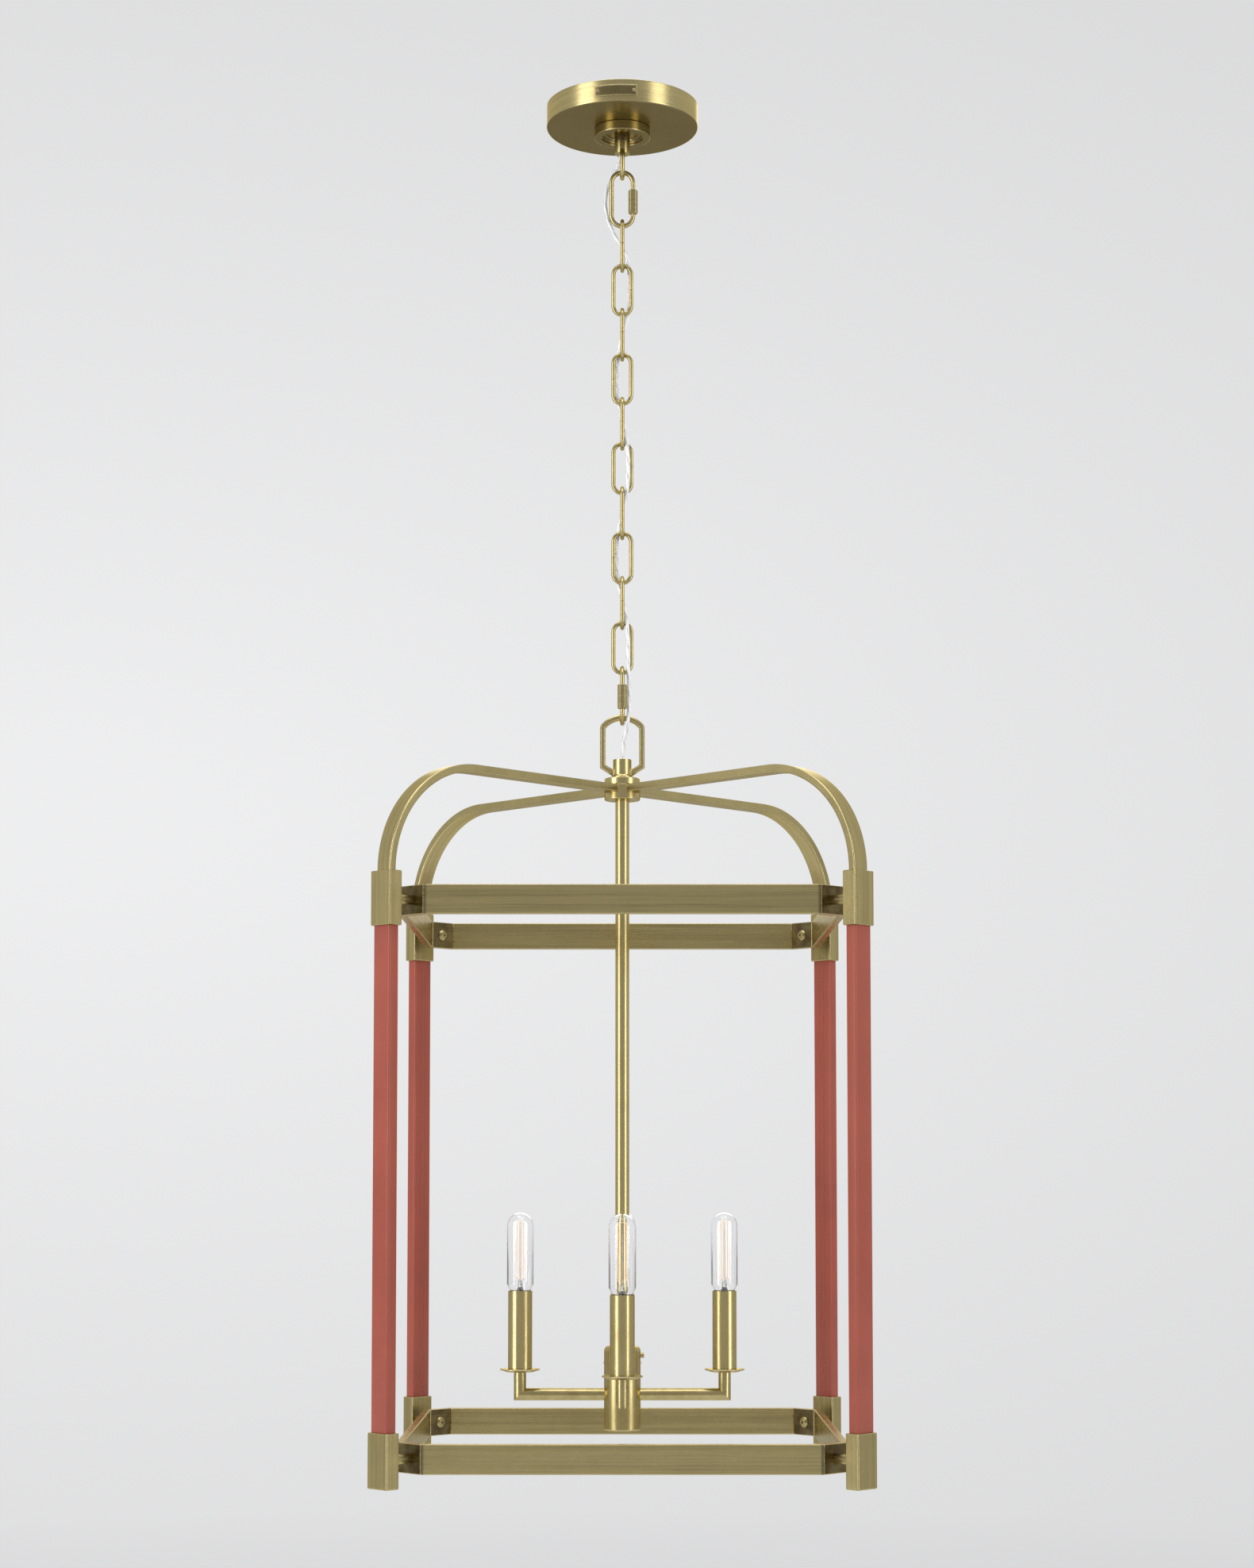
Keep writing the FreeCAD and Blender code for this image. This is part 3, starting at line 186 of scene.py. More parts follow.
def seat(piece):
    """Puts a piece's place into its mesh, so that its object sits at the origin."""
    only(piece)
    bpy.ops.object.transform_apply(location=True, rotation=True, scale=True)


def named(name):
    """Gives the new active object its name and seats it."""
    piece = bpy.context.object
    piece.name = name
    piece.data.name = name
    seat(piece)
    return piece


def edit(piece, kind):
    only(piece)
    bpy.ops.object.mode_set(mode="EDIT")
    bpy.ops.mesh.select_mode(type=kind)


def pick(piece, parts, test):
    """Selects the faces or edges of the mesh being edited that pass a test."""
    bpy.ops.mesh.select_all(action="DESELECT")
    shape = bmesh.from_edit_mesh(piece.data)
    chosen = [part for part in getattr(shape, parts) if test(part)]
    if not chosen:
        raise RuntimeError(f"{piece.name} has none of the {parts} to shape")
    for part in chosen:
        part.select_set(True)
    bmesh.update_edit_mesh(piece.data)


def apply_modifier(piece, kind, **settings):
    only(piece)
    modifier = piece.modifiers.new(kind.lower(), kind)
    for name, value in settings.items():
        setattr(modifier, name, value)
    bpy.ops.object.modifier_apply(modifier=modifier.name)


def soft_edges(piece, width):
    apply_modifier(piece, "BEVEL", width=width, segments=2, limit_method="ANGLE")


def smooth(piece, degrees=35):
    only(piece)
    bpy.ops.object.shade_smooth_by_angle(angle=math.radians(degrees))


def copied(piece, name, shift=(0, 0, 0), turn=0):
    """A copy with its own mesh, moved, or turned about the lantern's axis."""
    only(piece)
    bpy.ops.object.duplicate()
    copy = bpy.context.object
    copy.location = shift
    copy.rotation_euler = (0, 0, math.radians(turn))
    return named(name)


def remove(piece):
    only(piece)
    bpy.ops.object.delete()


def belongs(piece, body, finish, slot, *stands_for):
    """Gives a new piece its material and its body, and hides the nodes it stands for. The slot is not used.
    """
    piece.data.materials.clear()
    piece.data.materials.append(finish)
    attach(piece, body)
    if stands_for:
        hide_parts(*stands_for)


def turned_box(node, turn):
    """Lowest and highest corner of the part of a node that lies towards one post, turned to +X."""
    back = Matrix.Rotation(math.radians(-turn), 3, "Z")
    spots = [back @ vertex.co for vertex in NODES[node].data.vertices]
    spots = [spot for spot in spots if spot.x > abs(spot.y)]
    low = Vector(min(spot[axis] for spot in spots) for axis in range(3))
    high = Vector(max(spot[axis] for spot in spots) for axis in range(3))
    return low, high


# ---- materials ----

class Finish:
    """A material being built: its nodes, and the shader that they end in."""

    def __init__(self, name, **sockets):
        self.material = bpy.data.materials.new(name)
        self.material.use_nodes = True
        self.tree = self.material.node_tree
        self.shader = self.tree.nodes["Principled BSDF"]
        self.set(self.shader, sockets)

    def set(self, node, sockets):
        for socket, value in sockets.items():
            target = node.inputs[socket if isinstance(socket, int) else socket.replace("_", " ")]
            if isinstance(value, bpy.types.NodeSocket):
                self.tree.links.new(value, target)
            else:
                target.default_value = value

    def add(self, kind, sockets=None, **settings):
        node = self.tree.nodes.new(f"ShaderNode{kind}")
        for name, value in settings.items():
            setattr(node, name, value)
        self.set(node, sockets or {})
        return node

    def math(self, operation, first, second=0.0):
        return self.add("Math", {0: first, 1: second}, operation=operation).outputs[0]

    def ramp(self, value, low, high, start=0.0, end=1.0):
        """Maps low to high onto start to end, and stops there."""
        levels = {"Value": value, "From Min": low, "From Max": high, "To Min": start, "To Max": end}
        return self.add("MapRange", levels).outputs[0]

    def mix(self, share, first, second):
        """Mixes two colours."""
        node = self.add("Mix", data_type="RGBA")
        for socket, value in ((0, share), (6, first), (7, second)):
            self.set(node, {socket: value})
        return node.outputs[2]

    def place(self, scale=(1, 1, 1), turn=0.0):
        """Where on the piece a point is, in stretched and turned coordinates."""
        spot = self.add("TexCoord").outputs["Object"]
        if turn:
            turned = {"Vector": spot, "Rotation": (0, 0, math.radians(turn))}
            spot = self.add("Mapping", turned).outputs[0]
        return self.add("Mapping", {"Vector": spot, "Scale": scale}).outputs[0]

    def noise(self, where, scale, detail=3.0, rough=0.55):
        facts = {"Vector": where, "Scale": scale, "Detail": detail, "Roughness": rough}
        return self.add("TexNoise", facts).outputs[0]

    def bump(self, height, distance, strength=1.0, normal=None):
        facts = {"Height": height, "Distance": distance, "Strength": strength}
        if normal is not None:
            facts["Normal"] = normal
        return self.add("Bump", facts).outputs[0]


def opaque(tone):
    return (*tone, 1.0)


# Each grain's stretch, its turn, how much broader its bands are, and how deep its scratches.
GRAINS = {
    "level": ((14, 14, 1500), 0, 0.22, 0.22),
    "upright": ((1500, 1500, 12), 0, 0.22, 0.22),
    "rising": ((14, 1500, 14), -45, 0.22, 0.22),
    "falling": ((14, 1500, 14), 45, 0.22, 0.22),
    "fine": ((1800, 1800, 1800), 0, 0.05, 0.08),
}


def brushed_brass(name, grain, dark=0.0, edge=1.0, underside_shade=0.0, black=None, contrast=1.0):
    """Satin antique brass brushed along its grain, with patina in blotches, and edges rubbed bright
    that also carry a painted highlight.

    dark is the least patina, edge is how far the rubbed edge and its painted highlight reach in
    millimetres, and the underside shade is how much painted shade darkens the faces that look down.
    black gives the share of nearly black colour at each point, which is patina at seams and in a
    plate's field and painted shade on corner plates, and contrast is how strongly the brushing shows.
    """
    stretch, turn, wider, depth = GRAINS[grain]
    finish = Finish(name, Metallic=1.0, Specular_Tint=(0.93, 0.84, 0.60, 1))
    streaks = finish.noise(finish.place(stretch, turn), 1.0, 4.0, 0.7)
    broad = finish.noise(finish.place([side * wider for side in stretch], turn), 1.0, 2.0)
    blotches = finish.noise(finish.place(), 38.0, 4.0, 0.6)
    patina = finish.ramp(blotches, 0.42, 0.78, dark, dark + 0.42)
    lines = finish.ramp(streaks, 0.36, 0.70, 0.0, 0.46 * contrast)
    bands = finish.ramp(broad, 0.35, 0.70, 0.0, 0.32 * contrast)
    shade = finish.math("MAXIMUM", patina, finish.math("ADD", lines, bands))
    true = finish.add("NewGeometry").outputs["True Normal"]
    tone = finishes()
    metal = finish.mix(shade, opaque(tone.brass), opaque(tone.brass_dark))
    # Painted shade: faces that look down are darkened towards the nearly black colour.
    if underside_shade:
        height = finish.add("SeparateXYZ", {"Vector": true}).outputs["Z"]
        metal = finish.mix(finish.ramp(height, -0.2, -0.8, 0.0, underside_shade), metal, opaque(tone.brass_seam_and_shade))
    # The nearly black share is patina at seams and in the plate's field, and painted shade on the corner
    # plates.
    if black is not None:
        metal = finish.mix(black(finish), metal, opaque(tone.brass_seam_and_shade))
    soft = None
    if edge:
        soft = finish.add("Bevel", {"Radius": edge * MM}, samples=16).outputs[0]
        facing = finish.add("VectorMath", {0: soft, 1: true}, operation="DOT_PRODUCT").outputs["Value"]
        # Edges lighten towards bright brass: partly rubbed wear, partly a painted highlight.
        rubbed = finish.ramp(finish.math("SUBTRACT", 1.0, facing), 0.02, 0.22, 0.0, 0.7)
        metal = finish.mix(rubbed, metal, opaque(tone.brass_worn_and_highlight))
    normal = finish.bump(streaks, 0.05 * MM, depth * contrast, soft)
    rough = finish.ramp(finish.math("ADD", streaks, blotches), 0.7, 1.4, 0.22, 0.34)
    finish.set(finish.shader, {"Base Color": metal, "Roughness": rough, "Normal": normal})
    return finish.material


def seams_at(reach):
    """Patina beside the seams where straight bars meet their corner plates."""
    def share(finish):
        spot = finish.add("SeparateXYZ", {"Vector": finish.place()})
        near = []
        for axis in ("X", "Y"):
            away = finish.math("SUBTRACT", finish.math("ABSOLUTE", spot.outputs[axis]), reach)
            near.append(finish.ramp(finish.math("ABSOLUTE", away), 0.4 * MM, 3.0 * MM, 0.85, 0.0))
        return finish.math("MAXIMUM", *near)
    return share


def diagonal_painted_shade(finish):
    """Painted shade on the corner plates' slanted faces, in soft clouds."""
    true = finish.add("NewGeometry").outputs["True Normal"]
    parts = finish.add("SeparateXYZ", {"Vector": true})
    slant = finish.math("ABSOLUTE", finish.math("MULTIPLY", parts.outputs["X"], parts.outputs["Y"]))
    cloud = finish.ramp(finish.noise(finish.place(), 90.0, 3.0), 0.3, 0.7, 0.55, 0.92)
    return finish.math("MULTIPLY", finish.ramp(slant, 0.25, 0.42), cloud)


def plate_field(finish):
    """The sunk field of the blank plate, inside its brighter border."""
    low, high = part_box("badge_plate")
    spot = finish.add("SeparateXYZ", {"Vector": finish.place()})
    shares = []
    for axis, name in ((0, "X"), (2, "Z")):
        middle, half = (low[axis] + high[axis]) / 2, (high[axis] - low[axis]) / 2
        away = finish.math("ABSOLUTE", finish.math("SUBTRACT", spot.outputs[name], middle))
        shares.append(finish.ramp(away, half - 1.5 * MM, half - 0.9 * MM, 0.62, 0.0))
    return finish.math("MINIMUM", *shares)


def plated_steel(name="zinc_plate"):
    """Zinc-plated steel with a faint crystalline bloom."""
    finish = Finish(name, Metallic=1.0)
    spangle = finish.noise(finish.place(), 210.0, 2.0)
    tone = finish.mix(finish.ramp(spangle, 0.35, 0.65), (0.50, 0.51, 0.53, 1), (0.72, 0.72, 0.70, 1))
    rough = finish.ramp(spangle, 0.3, 0.7, 0.28, 0.45)
    normal = finish.bump(spangle, 0.05 * MM, 0.3)
    finish.set(finish.shader, {"Base Color": tone, "Roughness": rough, "Normal": normal})
    return finish.material


def moulded(name, light, deep, roughness):
    """Moulded plastic or lacquer with a fine orange-peel surface."""
    finish = Finish(name)
    peel = finish.noise(finish.place(), 900.0, 2.0)
    tone = finish.mix(finish.ramp(peel, 0.3, 0.7), opaque(deep), opaque(light))
    normal = finish.bump(peel, 0.03 * MM, 0.3)
    rough = finish.ramp(peel, 0.3, 0.7, roughness, roughness + 0.1)
    finish.set(finish.shader, {"Base Color": tone, "Normal": normal, "Roughness": rough})
    return finish.material


def red_leather():
    """Smooth satin leather: fine pores, a soft grain and slight changes of tone."""
    finish = Finish("red_leather")
    where = finish.place()
    pores = finish.add("TexVoronoi", {"Vector": where, "Scale": 1500.0}).outputs["Distance"]
    grain = finish.noise(where, 620.0, 4.0, 0.6)
    mottled = finish.noise(where, 24.0, 3.0)
    tone = finishes()
    clouds, specks = finish.ramp(mottled, 0.35, 0.75, 0.0, 0.30), finish.ramp(grain, 0.5, 0.8, 0.0, 0.22)
    share = finish.math("ADD", clouds, specks)
    base = finish.mix(share, opaque(tone.leather), opaque(tone.leather_dark))
    height = finish.math("ADD", finish.math("MULTIPLY", pores, 0.6), grain)
    normal = finish.bump(height, 0.09 * MM, 0.55)
    rough = finish.ramp(grain, 0.3, 0.7, 0.27, 0.40)
    finish.set(finish.shader, {"Base Color": base, "Normal": normal, "Roughness": rough})
    finish.set(finish.shader, {"Sheen Weight": 0.12, "Sheen Roughness": 0.4, "Specular IOR Level": 0.5})
    return finish.material


def waxed_thread():
    """Thread of twisted plies."""
    finish = Finish("waxed_thread")
    plies = finish.noise(finish.place((1, 1, 0.4)), 2600.0, 2.0)
    tone = finishes()
    base = finish.mix(finish.ramp(plies, 0.3, 0.7), opaque(tone.thread), opaque(tone.leather))
    normal = finish.bump(plies, 0.08 * MM)
    finish.set(finish.shader, {"Base Color": base, "Normal": normal, "Roughness": 0.5})
    return finish.material


def clear_cord():
    """A clear jacket over two twisted silvery conductors, along the cord's own map."""
    finish = Finish("clear_cord")
    lay = finish.add("UVMap", uv_map="along").outputs[0]
    spot = finish.add("SeparateXYZ", {"Vector": lay})
    twist = finish.math("ADD", finish.math("MULTIPLY", spot.outputs["X"], 2.0), spot.outputs["Y"])
    wave = finish.math("SINE", finish.math("MULTIPLY", twist, math.tau))
    strands = finish.noise(finish.add("Mapping", {"Vector": lay, "Scale": (30, 2, 1)}).outputs[0], 1.0, 2.0)
    inside = finish.ramp(finish.math("ADD", wave, strands), 0.35, 1.35)
    tone = finishes()
    base = finish.mix(inside, opaque(tone.cord), opaque(tone.conductor))
    finish.set(finish.shader, {"Base Color": base, "Metallic": finish.ramp(inside, 0.2, 1.0, 0.0, 0.2)})
    finish.set(finish.shader, {"Roughness": 0.16, "Coat Weight": 0.8, "Coat Roughness": 0.05})
    return finish.material


def clear_glass():
    """Thin blown glass with the slightest change of tint."""
    finish = Finish("clear_glass", Roughness=0.0, IOR=1.45)
    finish.shader.inputs["Transmission Weight"].default_value = 1.0
    waves = finish.noise(finish.place((1, 1, 0.25)), 110.0, 1.0)
    tint = finish.mix(finish.ramp(waves, 0.3, 0.7), (1.0, 1.0, 1.0, 1), (0.975, 0.982, 0.985, 1))
    finish.set(finish.shader, {"Base Color": tint})
    return finish.material


def glowing_wire():
    """Carbon wire at a warm white heat, its tone changing in patches along it."""
    tone = finishes()
    finish = Finish("glowing_wire", Roughness=0.5)
    heat = finish.noise(finish.place((1, 1, 0.3)), 160.0, 2.0)
    light = finish.mix(finish.ramp(heat, 0.3, 0.7), opaque(tone.glow), (1.0, 0.74, 0.52, 1))
    finish.set(finish.shader, {"Base Color": light, "Emission Color": light})
    finish.shader.inputs["Emission Strength"].default_value = tone.glow_strength
    return finish.material


def paint(material, *nodes):
    """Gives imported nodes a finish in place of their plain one."""
    for node in nodes:
        slots = NODES[node].data.materials
        slots.clear()
        slots.append(material)


# ---- operators, one for each group of pieces ----

class LANTERN_OT_ceiling_end(bpy.types.Operator):
    """Finishes the canopy, its blank plate and rivets, the collar and loop, and what the canopy hides"""

    bl_idname = "lantern.ceiling_end"
    bl_label = "Ceiling end"

    def execute(self, context):
        # The canopy and screw collar get painted shade on the faces that look down.
        cover = brushed_brass("canopy_brass", "level", edge=0.6, underside_shade=0.72, contrast=0.8)
        paint(cover, "canopy", "screw_collar")
        paint(brushed_brass("plate_brass", "fine", edge=0.5, black=plate_field), "badge_plate")
        paint(brushed_brass("loop_brass", "fine", edge=0), "canopy_loop")
        paint(brushed_brass("rivet_brass", "fine", edge=0.8), "badge_rivets")
        paint(plated_steel(), "mounting_strap", "strap_nipple", "strap_locknut")
        paint(moulded("green_screw", (0.03, 0.20, 0.05), (0.02, 0.13, 0.03), 0.35), "ground_screw")
        paint(moulded("connector_orange", (0.72, 0.20, 0.03), (0.60, 0.15, 0.02), 0.45), "wire_connectors")
        return {"FINISHED"}


class LANTERN_OT_chain(bpy.types.Operator):
    """Finishes the quick links, their sleeve nuts and the ten chain links"""

    bl_idname = "lantern.chain"
    bl_label = "Chain"

    def execute(self, context):
        links = brushed_brass("link_brass", "fine", dark=0.08, edge=0)
        paint(links, *HANGING_NODES)
        paint(brushed_brass("nut_brass", "level", edge=0.5), "quick_link_top_nut", "quick_link_bottom_nut")
        return {"FINISHED"}


class LANTERN_OT_bars(bpy.types.Operator):
    """Finishes the arms, the two square rings, the collars, the hub and the stem"""

    bl_idname = "lantern.bars"
    bl_label = "Bars and hub"

    def execute(self, context):
        rising = brushed_brass("arm_brass_rising", "rising")
        falling = brushed_brass("arm_brass_falling", "falling")
        paint(rising, "arm_front_left", "arm_back_right")
        paint(falling, "arm_front_right", "arm_back_left")
        corner = min(NODES["upper_rails"].data.vertices, key=lambda vertex: vertex.co.y).co
        ends = [abs(v.co.x) for v in NODES["upper_rails"].data.vertices if v.co.y < corner.y + MM]
        paint(brushed_brass("rail_brass", "level", black=seams_at(max(ends))), "upper_rails", "lower_rails")
        # The corner plates get a darker least patina and painted shade on their slanted faces.
        paint(brushed_brass("corner_brass", "level", dark=0.2, black=diagonal_painted_shade), "corner_plates")
        upright = brushed_brass("upright_brass", "upright", edge=0.7)
        paint(upright, "post_collars", "post_cores")
        paint(brushed_brass("stem_brass", "upright", edge=0, contrast=0.4), "stem_tube")
        turned = brushed_brass("turned_brass", "level", edge=0.5, contrast=0.6)
        paint(turned, "hub_upper_disc", "hub_lower_disc", "lantern_loop")
        paint(brushed_brass("spacer_brass", "fine", edge=0), "standoff_spacers")
        paint(brushed_brass("screw_brass", "fine", dark=0.5, edge=0.4), "standoff_screws")
        return {"FINISHED"}


class LANTERN_OT_leather(bpy.types.Operator):
    """Wraps the four posts in leather with a stitched seam on the side towards the lantern's middle"""

    bl_idname = "lantern.leather"
    bl_label = "Leather wraps"

    def execute(self, context):
        low, high = turned_box("leather_wraps", POST_TURNS["back_right"])
        wrap = self.wrap(low, high)
        rows = self.stitching(low, high)
        leather, thread = red_leather(), waxed_thread()
        for post, turn in POST_TURNS.items():
            piece = copied(wrap, f"leather_wrap_{post}", turn=turn)
            belongs(piece, "lantern", leather, "red_leather", "leather_wraps")
            sewn = copied(rows, f"leather_stitching_{post}", turn=turn)
            belongs(sewn, "lantern", thread, "red_leather")
        remove(wrap)
        remove(rows)
        return {"FINISHED"}

    def wrap(self, low, high):
        """A bar with rounded long edges and a sunk seam where the leather's edges meet."""
        size = sizes()
        bpy.ops.mesh.primitive_cube_add(size=1, location=(low + high) / 2, scale=high - low)
        wrap = named("wrap_pattern")
        edit(wrap, "EDGE")
        pick(wrap, "edges", lambda edge: abs(edge.verts[0].co.z - edge.verts[1].co.z) > MM)
        bpy.ops.mesh.bevel(offset=size.leather_round, segments=6, affect="EDGES")
        half = size.seam_wide / 2
        for place in (-2.2 * half, -half, 0, half, 2.2 * half):
            bpy.ops.mesh.select_all(action="SELECT")
            bpy.ops.mesh.bisect(plane_co=(0, place, 0), plane_no=(0, 1, 0))
        inner = low.x + 0.05 * MM
        line = 0.01 * MM
        pick(wrap, "edges", lambda edge: all(v.co.x < inner and abs(v.co.y) < line for v in edge.verts))
        bpy.ops.transform.translate(value=(size.seam_deep, 0, 0))
        bpy.ops.object.mode_set(mode="OBJECT")
        soft_edges(wrap, 0.35 * MM)
        smooth(wrap)
        return wrap

    def stitching(self, low, high):
        """Two rows of stitches, one each side of the seam."""
        size = sizes()
        count = int((high.z - low.z - 2 * size.stitch_pitch) / size.stitch_pitch)
        start = (low.z + high.z - count * size.stitch_pitch) / 2
        rows = []
        for side in (-1, 1):
            spot = (low.x + 0.02 * MM, side * size.stitch_out, start)
            bpy.ops.mesh.primitive_uv_sphere_add(segments=8, ring_count=6, radius=0.5, location=spot)
            stitch = bpy.context.object
            stitch.scale = (0.5 * MM, 0.62 * MM, size.stitch_long)
            stitch.rotation_euler = (side * math.radians(7), 0, 0)
            stitch = named("stitch")
            edit(stitch, "FACE")
            pick(stitch, "faces", lambda face: abs(face.normal.z) < 0.8)
            bpy.ops.transform.resize(value=(0.9, 1.1, 1))
            bpy.ops.object.mode_set(mode="OBJECT")
            apply_modifier(
                stitch, "ARRAY", count=count, use_relative_offset=False,
                use_constant_offset=True, constant_offset_displace=(0, 0, size.stitch_pitch),
            )
            rows.append(stitch)
        only(rows[0])
        rows[1].select_set(True)
        bpy.ops.object.join()
        smooth(rows[0], 80)
        return rows[0]


class LANTERN_OT_candles(bpy.types.Operator):
    """Finishes the cluster, its arms, the drip pans, the candle sleeves and the sockets in them"""

    bl_idname = "lantern.candles"
    bl_label = "Candles"

    def execute(self, context):
        sleeves = brushed_brass("candle_brass", "upright", dark=0.12, edge=0, contrast=0.4)
        paint(sleeves, "cluster_body", "candle_sleeves", "cluster_cap")
        arms = brushed_brass("candle_arm_brass", "fine", dark=0.06, edge=0)
        paint(arms, "candle_arms", "cluster_set_screw")
        paint(brushed_brass("pan_brass", "level"), "drip_pans")
        paint(moulded("socket_phenolic", (0.03, 0.03, 0.03), (0.015, 0.015, 0.015), 0.4), "lamp_sockets")
        return {"FINISHED"}


class LANTERN_OT_bulbs(bpy.types.Operator):
    """Makes each bulb's glass, glass mount, lead wires and glowing cage, and finishes its base"""

    bl_idname = "lantern.bulbs"
    bl_label = "Bulbs"

    def execute(self, context):
        glass, wire, base = clear_glass(), glowing_wire(), brushed_brass("base_brass", "level")
        lead = plated_steel("lead_wire_metal")
        low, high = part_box("bulb_front_glass")
        tall = high.z - low.z
        pattern = {
            "glass_mount": self.mount(tall * 0.17),
            "lead_wires": self.leads(tall * 0.14, tall * 0.80),
            "filament": self.cage(tall * 0.21, tall * 0.90),
        }
        for name in BULBS:
            body = f"bulb_{name}"
            low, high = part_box(f"{body}_glass")
            foot = Vector(((low.x + high.x) / 2, (low.y + high.y) / 2, low.z))
            self.shell(body, glass)
            paint(base, f"{body}_base")
            made = {part: copied(shape, f"{part}_{name}", foot) for part, shape in pattern.items()}
            belongs(made["glass_mount"], body, glass, "clear_glass", f"{body}_filament")
            belongs(made["lead_wires"], body, lead, "bulb_base_metal", f"{body}_filament")
            belongs(made["filament"], body, wire, "amber_filament", f"{body}_filament")
        for shape in pattern.values():
            remove(shape)
        return {"FINISHED"}

    def shell(self, body, glass):
        """The bulb's own glass, with its triangles joined and smoothed so that it shines evenly."""
        node = f"{body}_glass"
        shell = copied(NODES[node], f"{node}_shell")
        shell.parent = None
        edit(shell, "VERT")
        bpy.ops.mesh.select_all(action="SELECT")
        bpy.ops.mesh.remove_doubles(threshold=TOUCHING)
        bpy.ops.object.mode_set(mode="OBJECT")
        smooth(shell, 40)
        belongs(shell, body, glass, "clear_glass", node)

    def mount(self, tall):
        """The flared glass foot, pressed flat at its top round the lead wires."""
        bpy.ops.mesh.primitive_cylinder_add(
            vertices=28, radius=3.3 * MM, depth=0.35 * tall, location=(0, 0, 0.35 * tall / 2 + 0.6 * MM)
        )
        mount = named("mount_pattern")
        edit(mount, "FACE")
        for rise, across, deep in ((0.25, 0.62, 0.62), (0.25, 0.95, 0.62), (0.15, 0.80, 0.60)):
            top = max(vertex.co.z for vertex in bmesh.from_edit_mesh(mount.data).verts) - 0.01 * MM
            pick(mount, "faces", lambda face: all(vertex.co.z > top for vertex in face.verts))
            bpy.ops.mesh.extrude_region_move(TRANSFORM_OT_translate={"value": (0, 0, rise * tall)})
            bpy.ops.transform.resize(value=(across, deep, 1))
        bpy.ops.object.mode_set(mode="OBJECT")
        soft_edges(mount, 0.3 * MM)
        smooth(mount, 50)
        return mount

    def wire(self, name, runs, radius):
        """Round wires along straight runs, as one mesh."""
        line = bpy.data.curves.new(name, "CURVE")
        line.dimensions = "3D"
        line.bevel_depth = radius
        line.bevel_resolution = 2
        line.use_fill_caps = True
        for run in runs:
            spline = line.splines.new("POLY")
            spline.points.add(len(run) - 1)
            for point, place in zip(spline.points, run):
                point.co = (*place, 1)
        piece = bpy.data.objects.new(name, line)
        bpy.context.scene.collection.objects.link(piece)
        only(piece)
        bpy.ops.object.convert(target="MESH")
        piece = named(name)
        smooth(piece, 60)
        return piece

    def leads(self, low, high):
        out = 1.3 * MM
        cage = sizes().cage_radius
        runs = [
            [(-out, 0, low), (-out, 0, low * 1.5), (-cage, 0, low * 1.7)],
            [(out, 0, low), (out, 0, low * 1.5), (cage, 0, low * 1.7)],
            [(0, 0, low), (0, 0, high)],
        ]
        return self.wire("lead_pattern", runs, 0.22 * MM)

    def cage(self, low, high):
        """One wire that runs up and down round a cage."""
        strands = sizes().cage_strands
        radius = sizes().cage_radius
        run = []
        for strand in range(strands):
            turn = math.tau * strand / strands
            spot = (radius * math.cos(turn), radius * math.sin(turn))
            ends = [(*spot, low), (*spot, high)]
            run += ends if strand % 2 == 0 else ends[::-1]
        return self.wire("cage_pattern", [run], sizes().cage_wire)


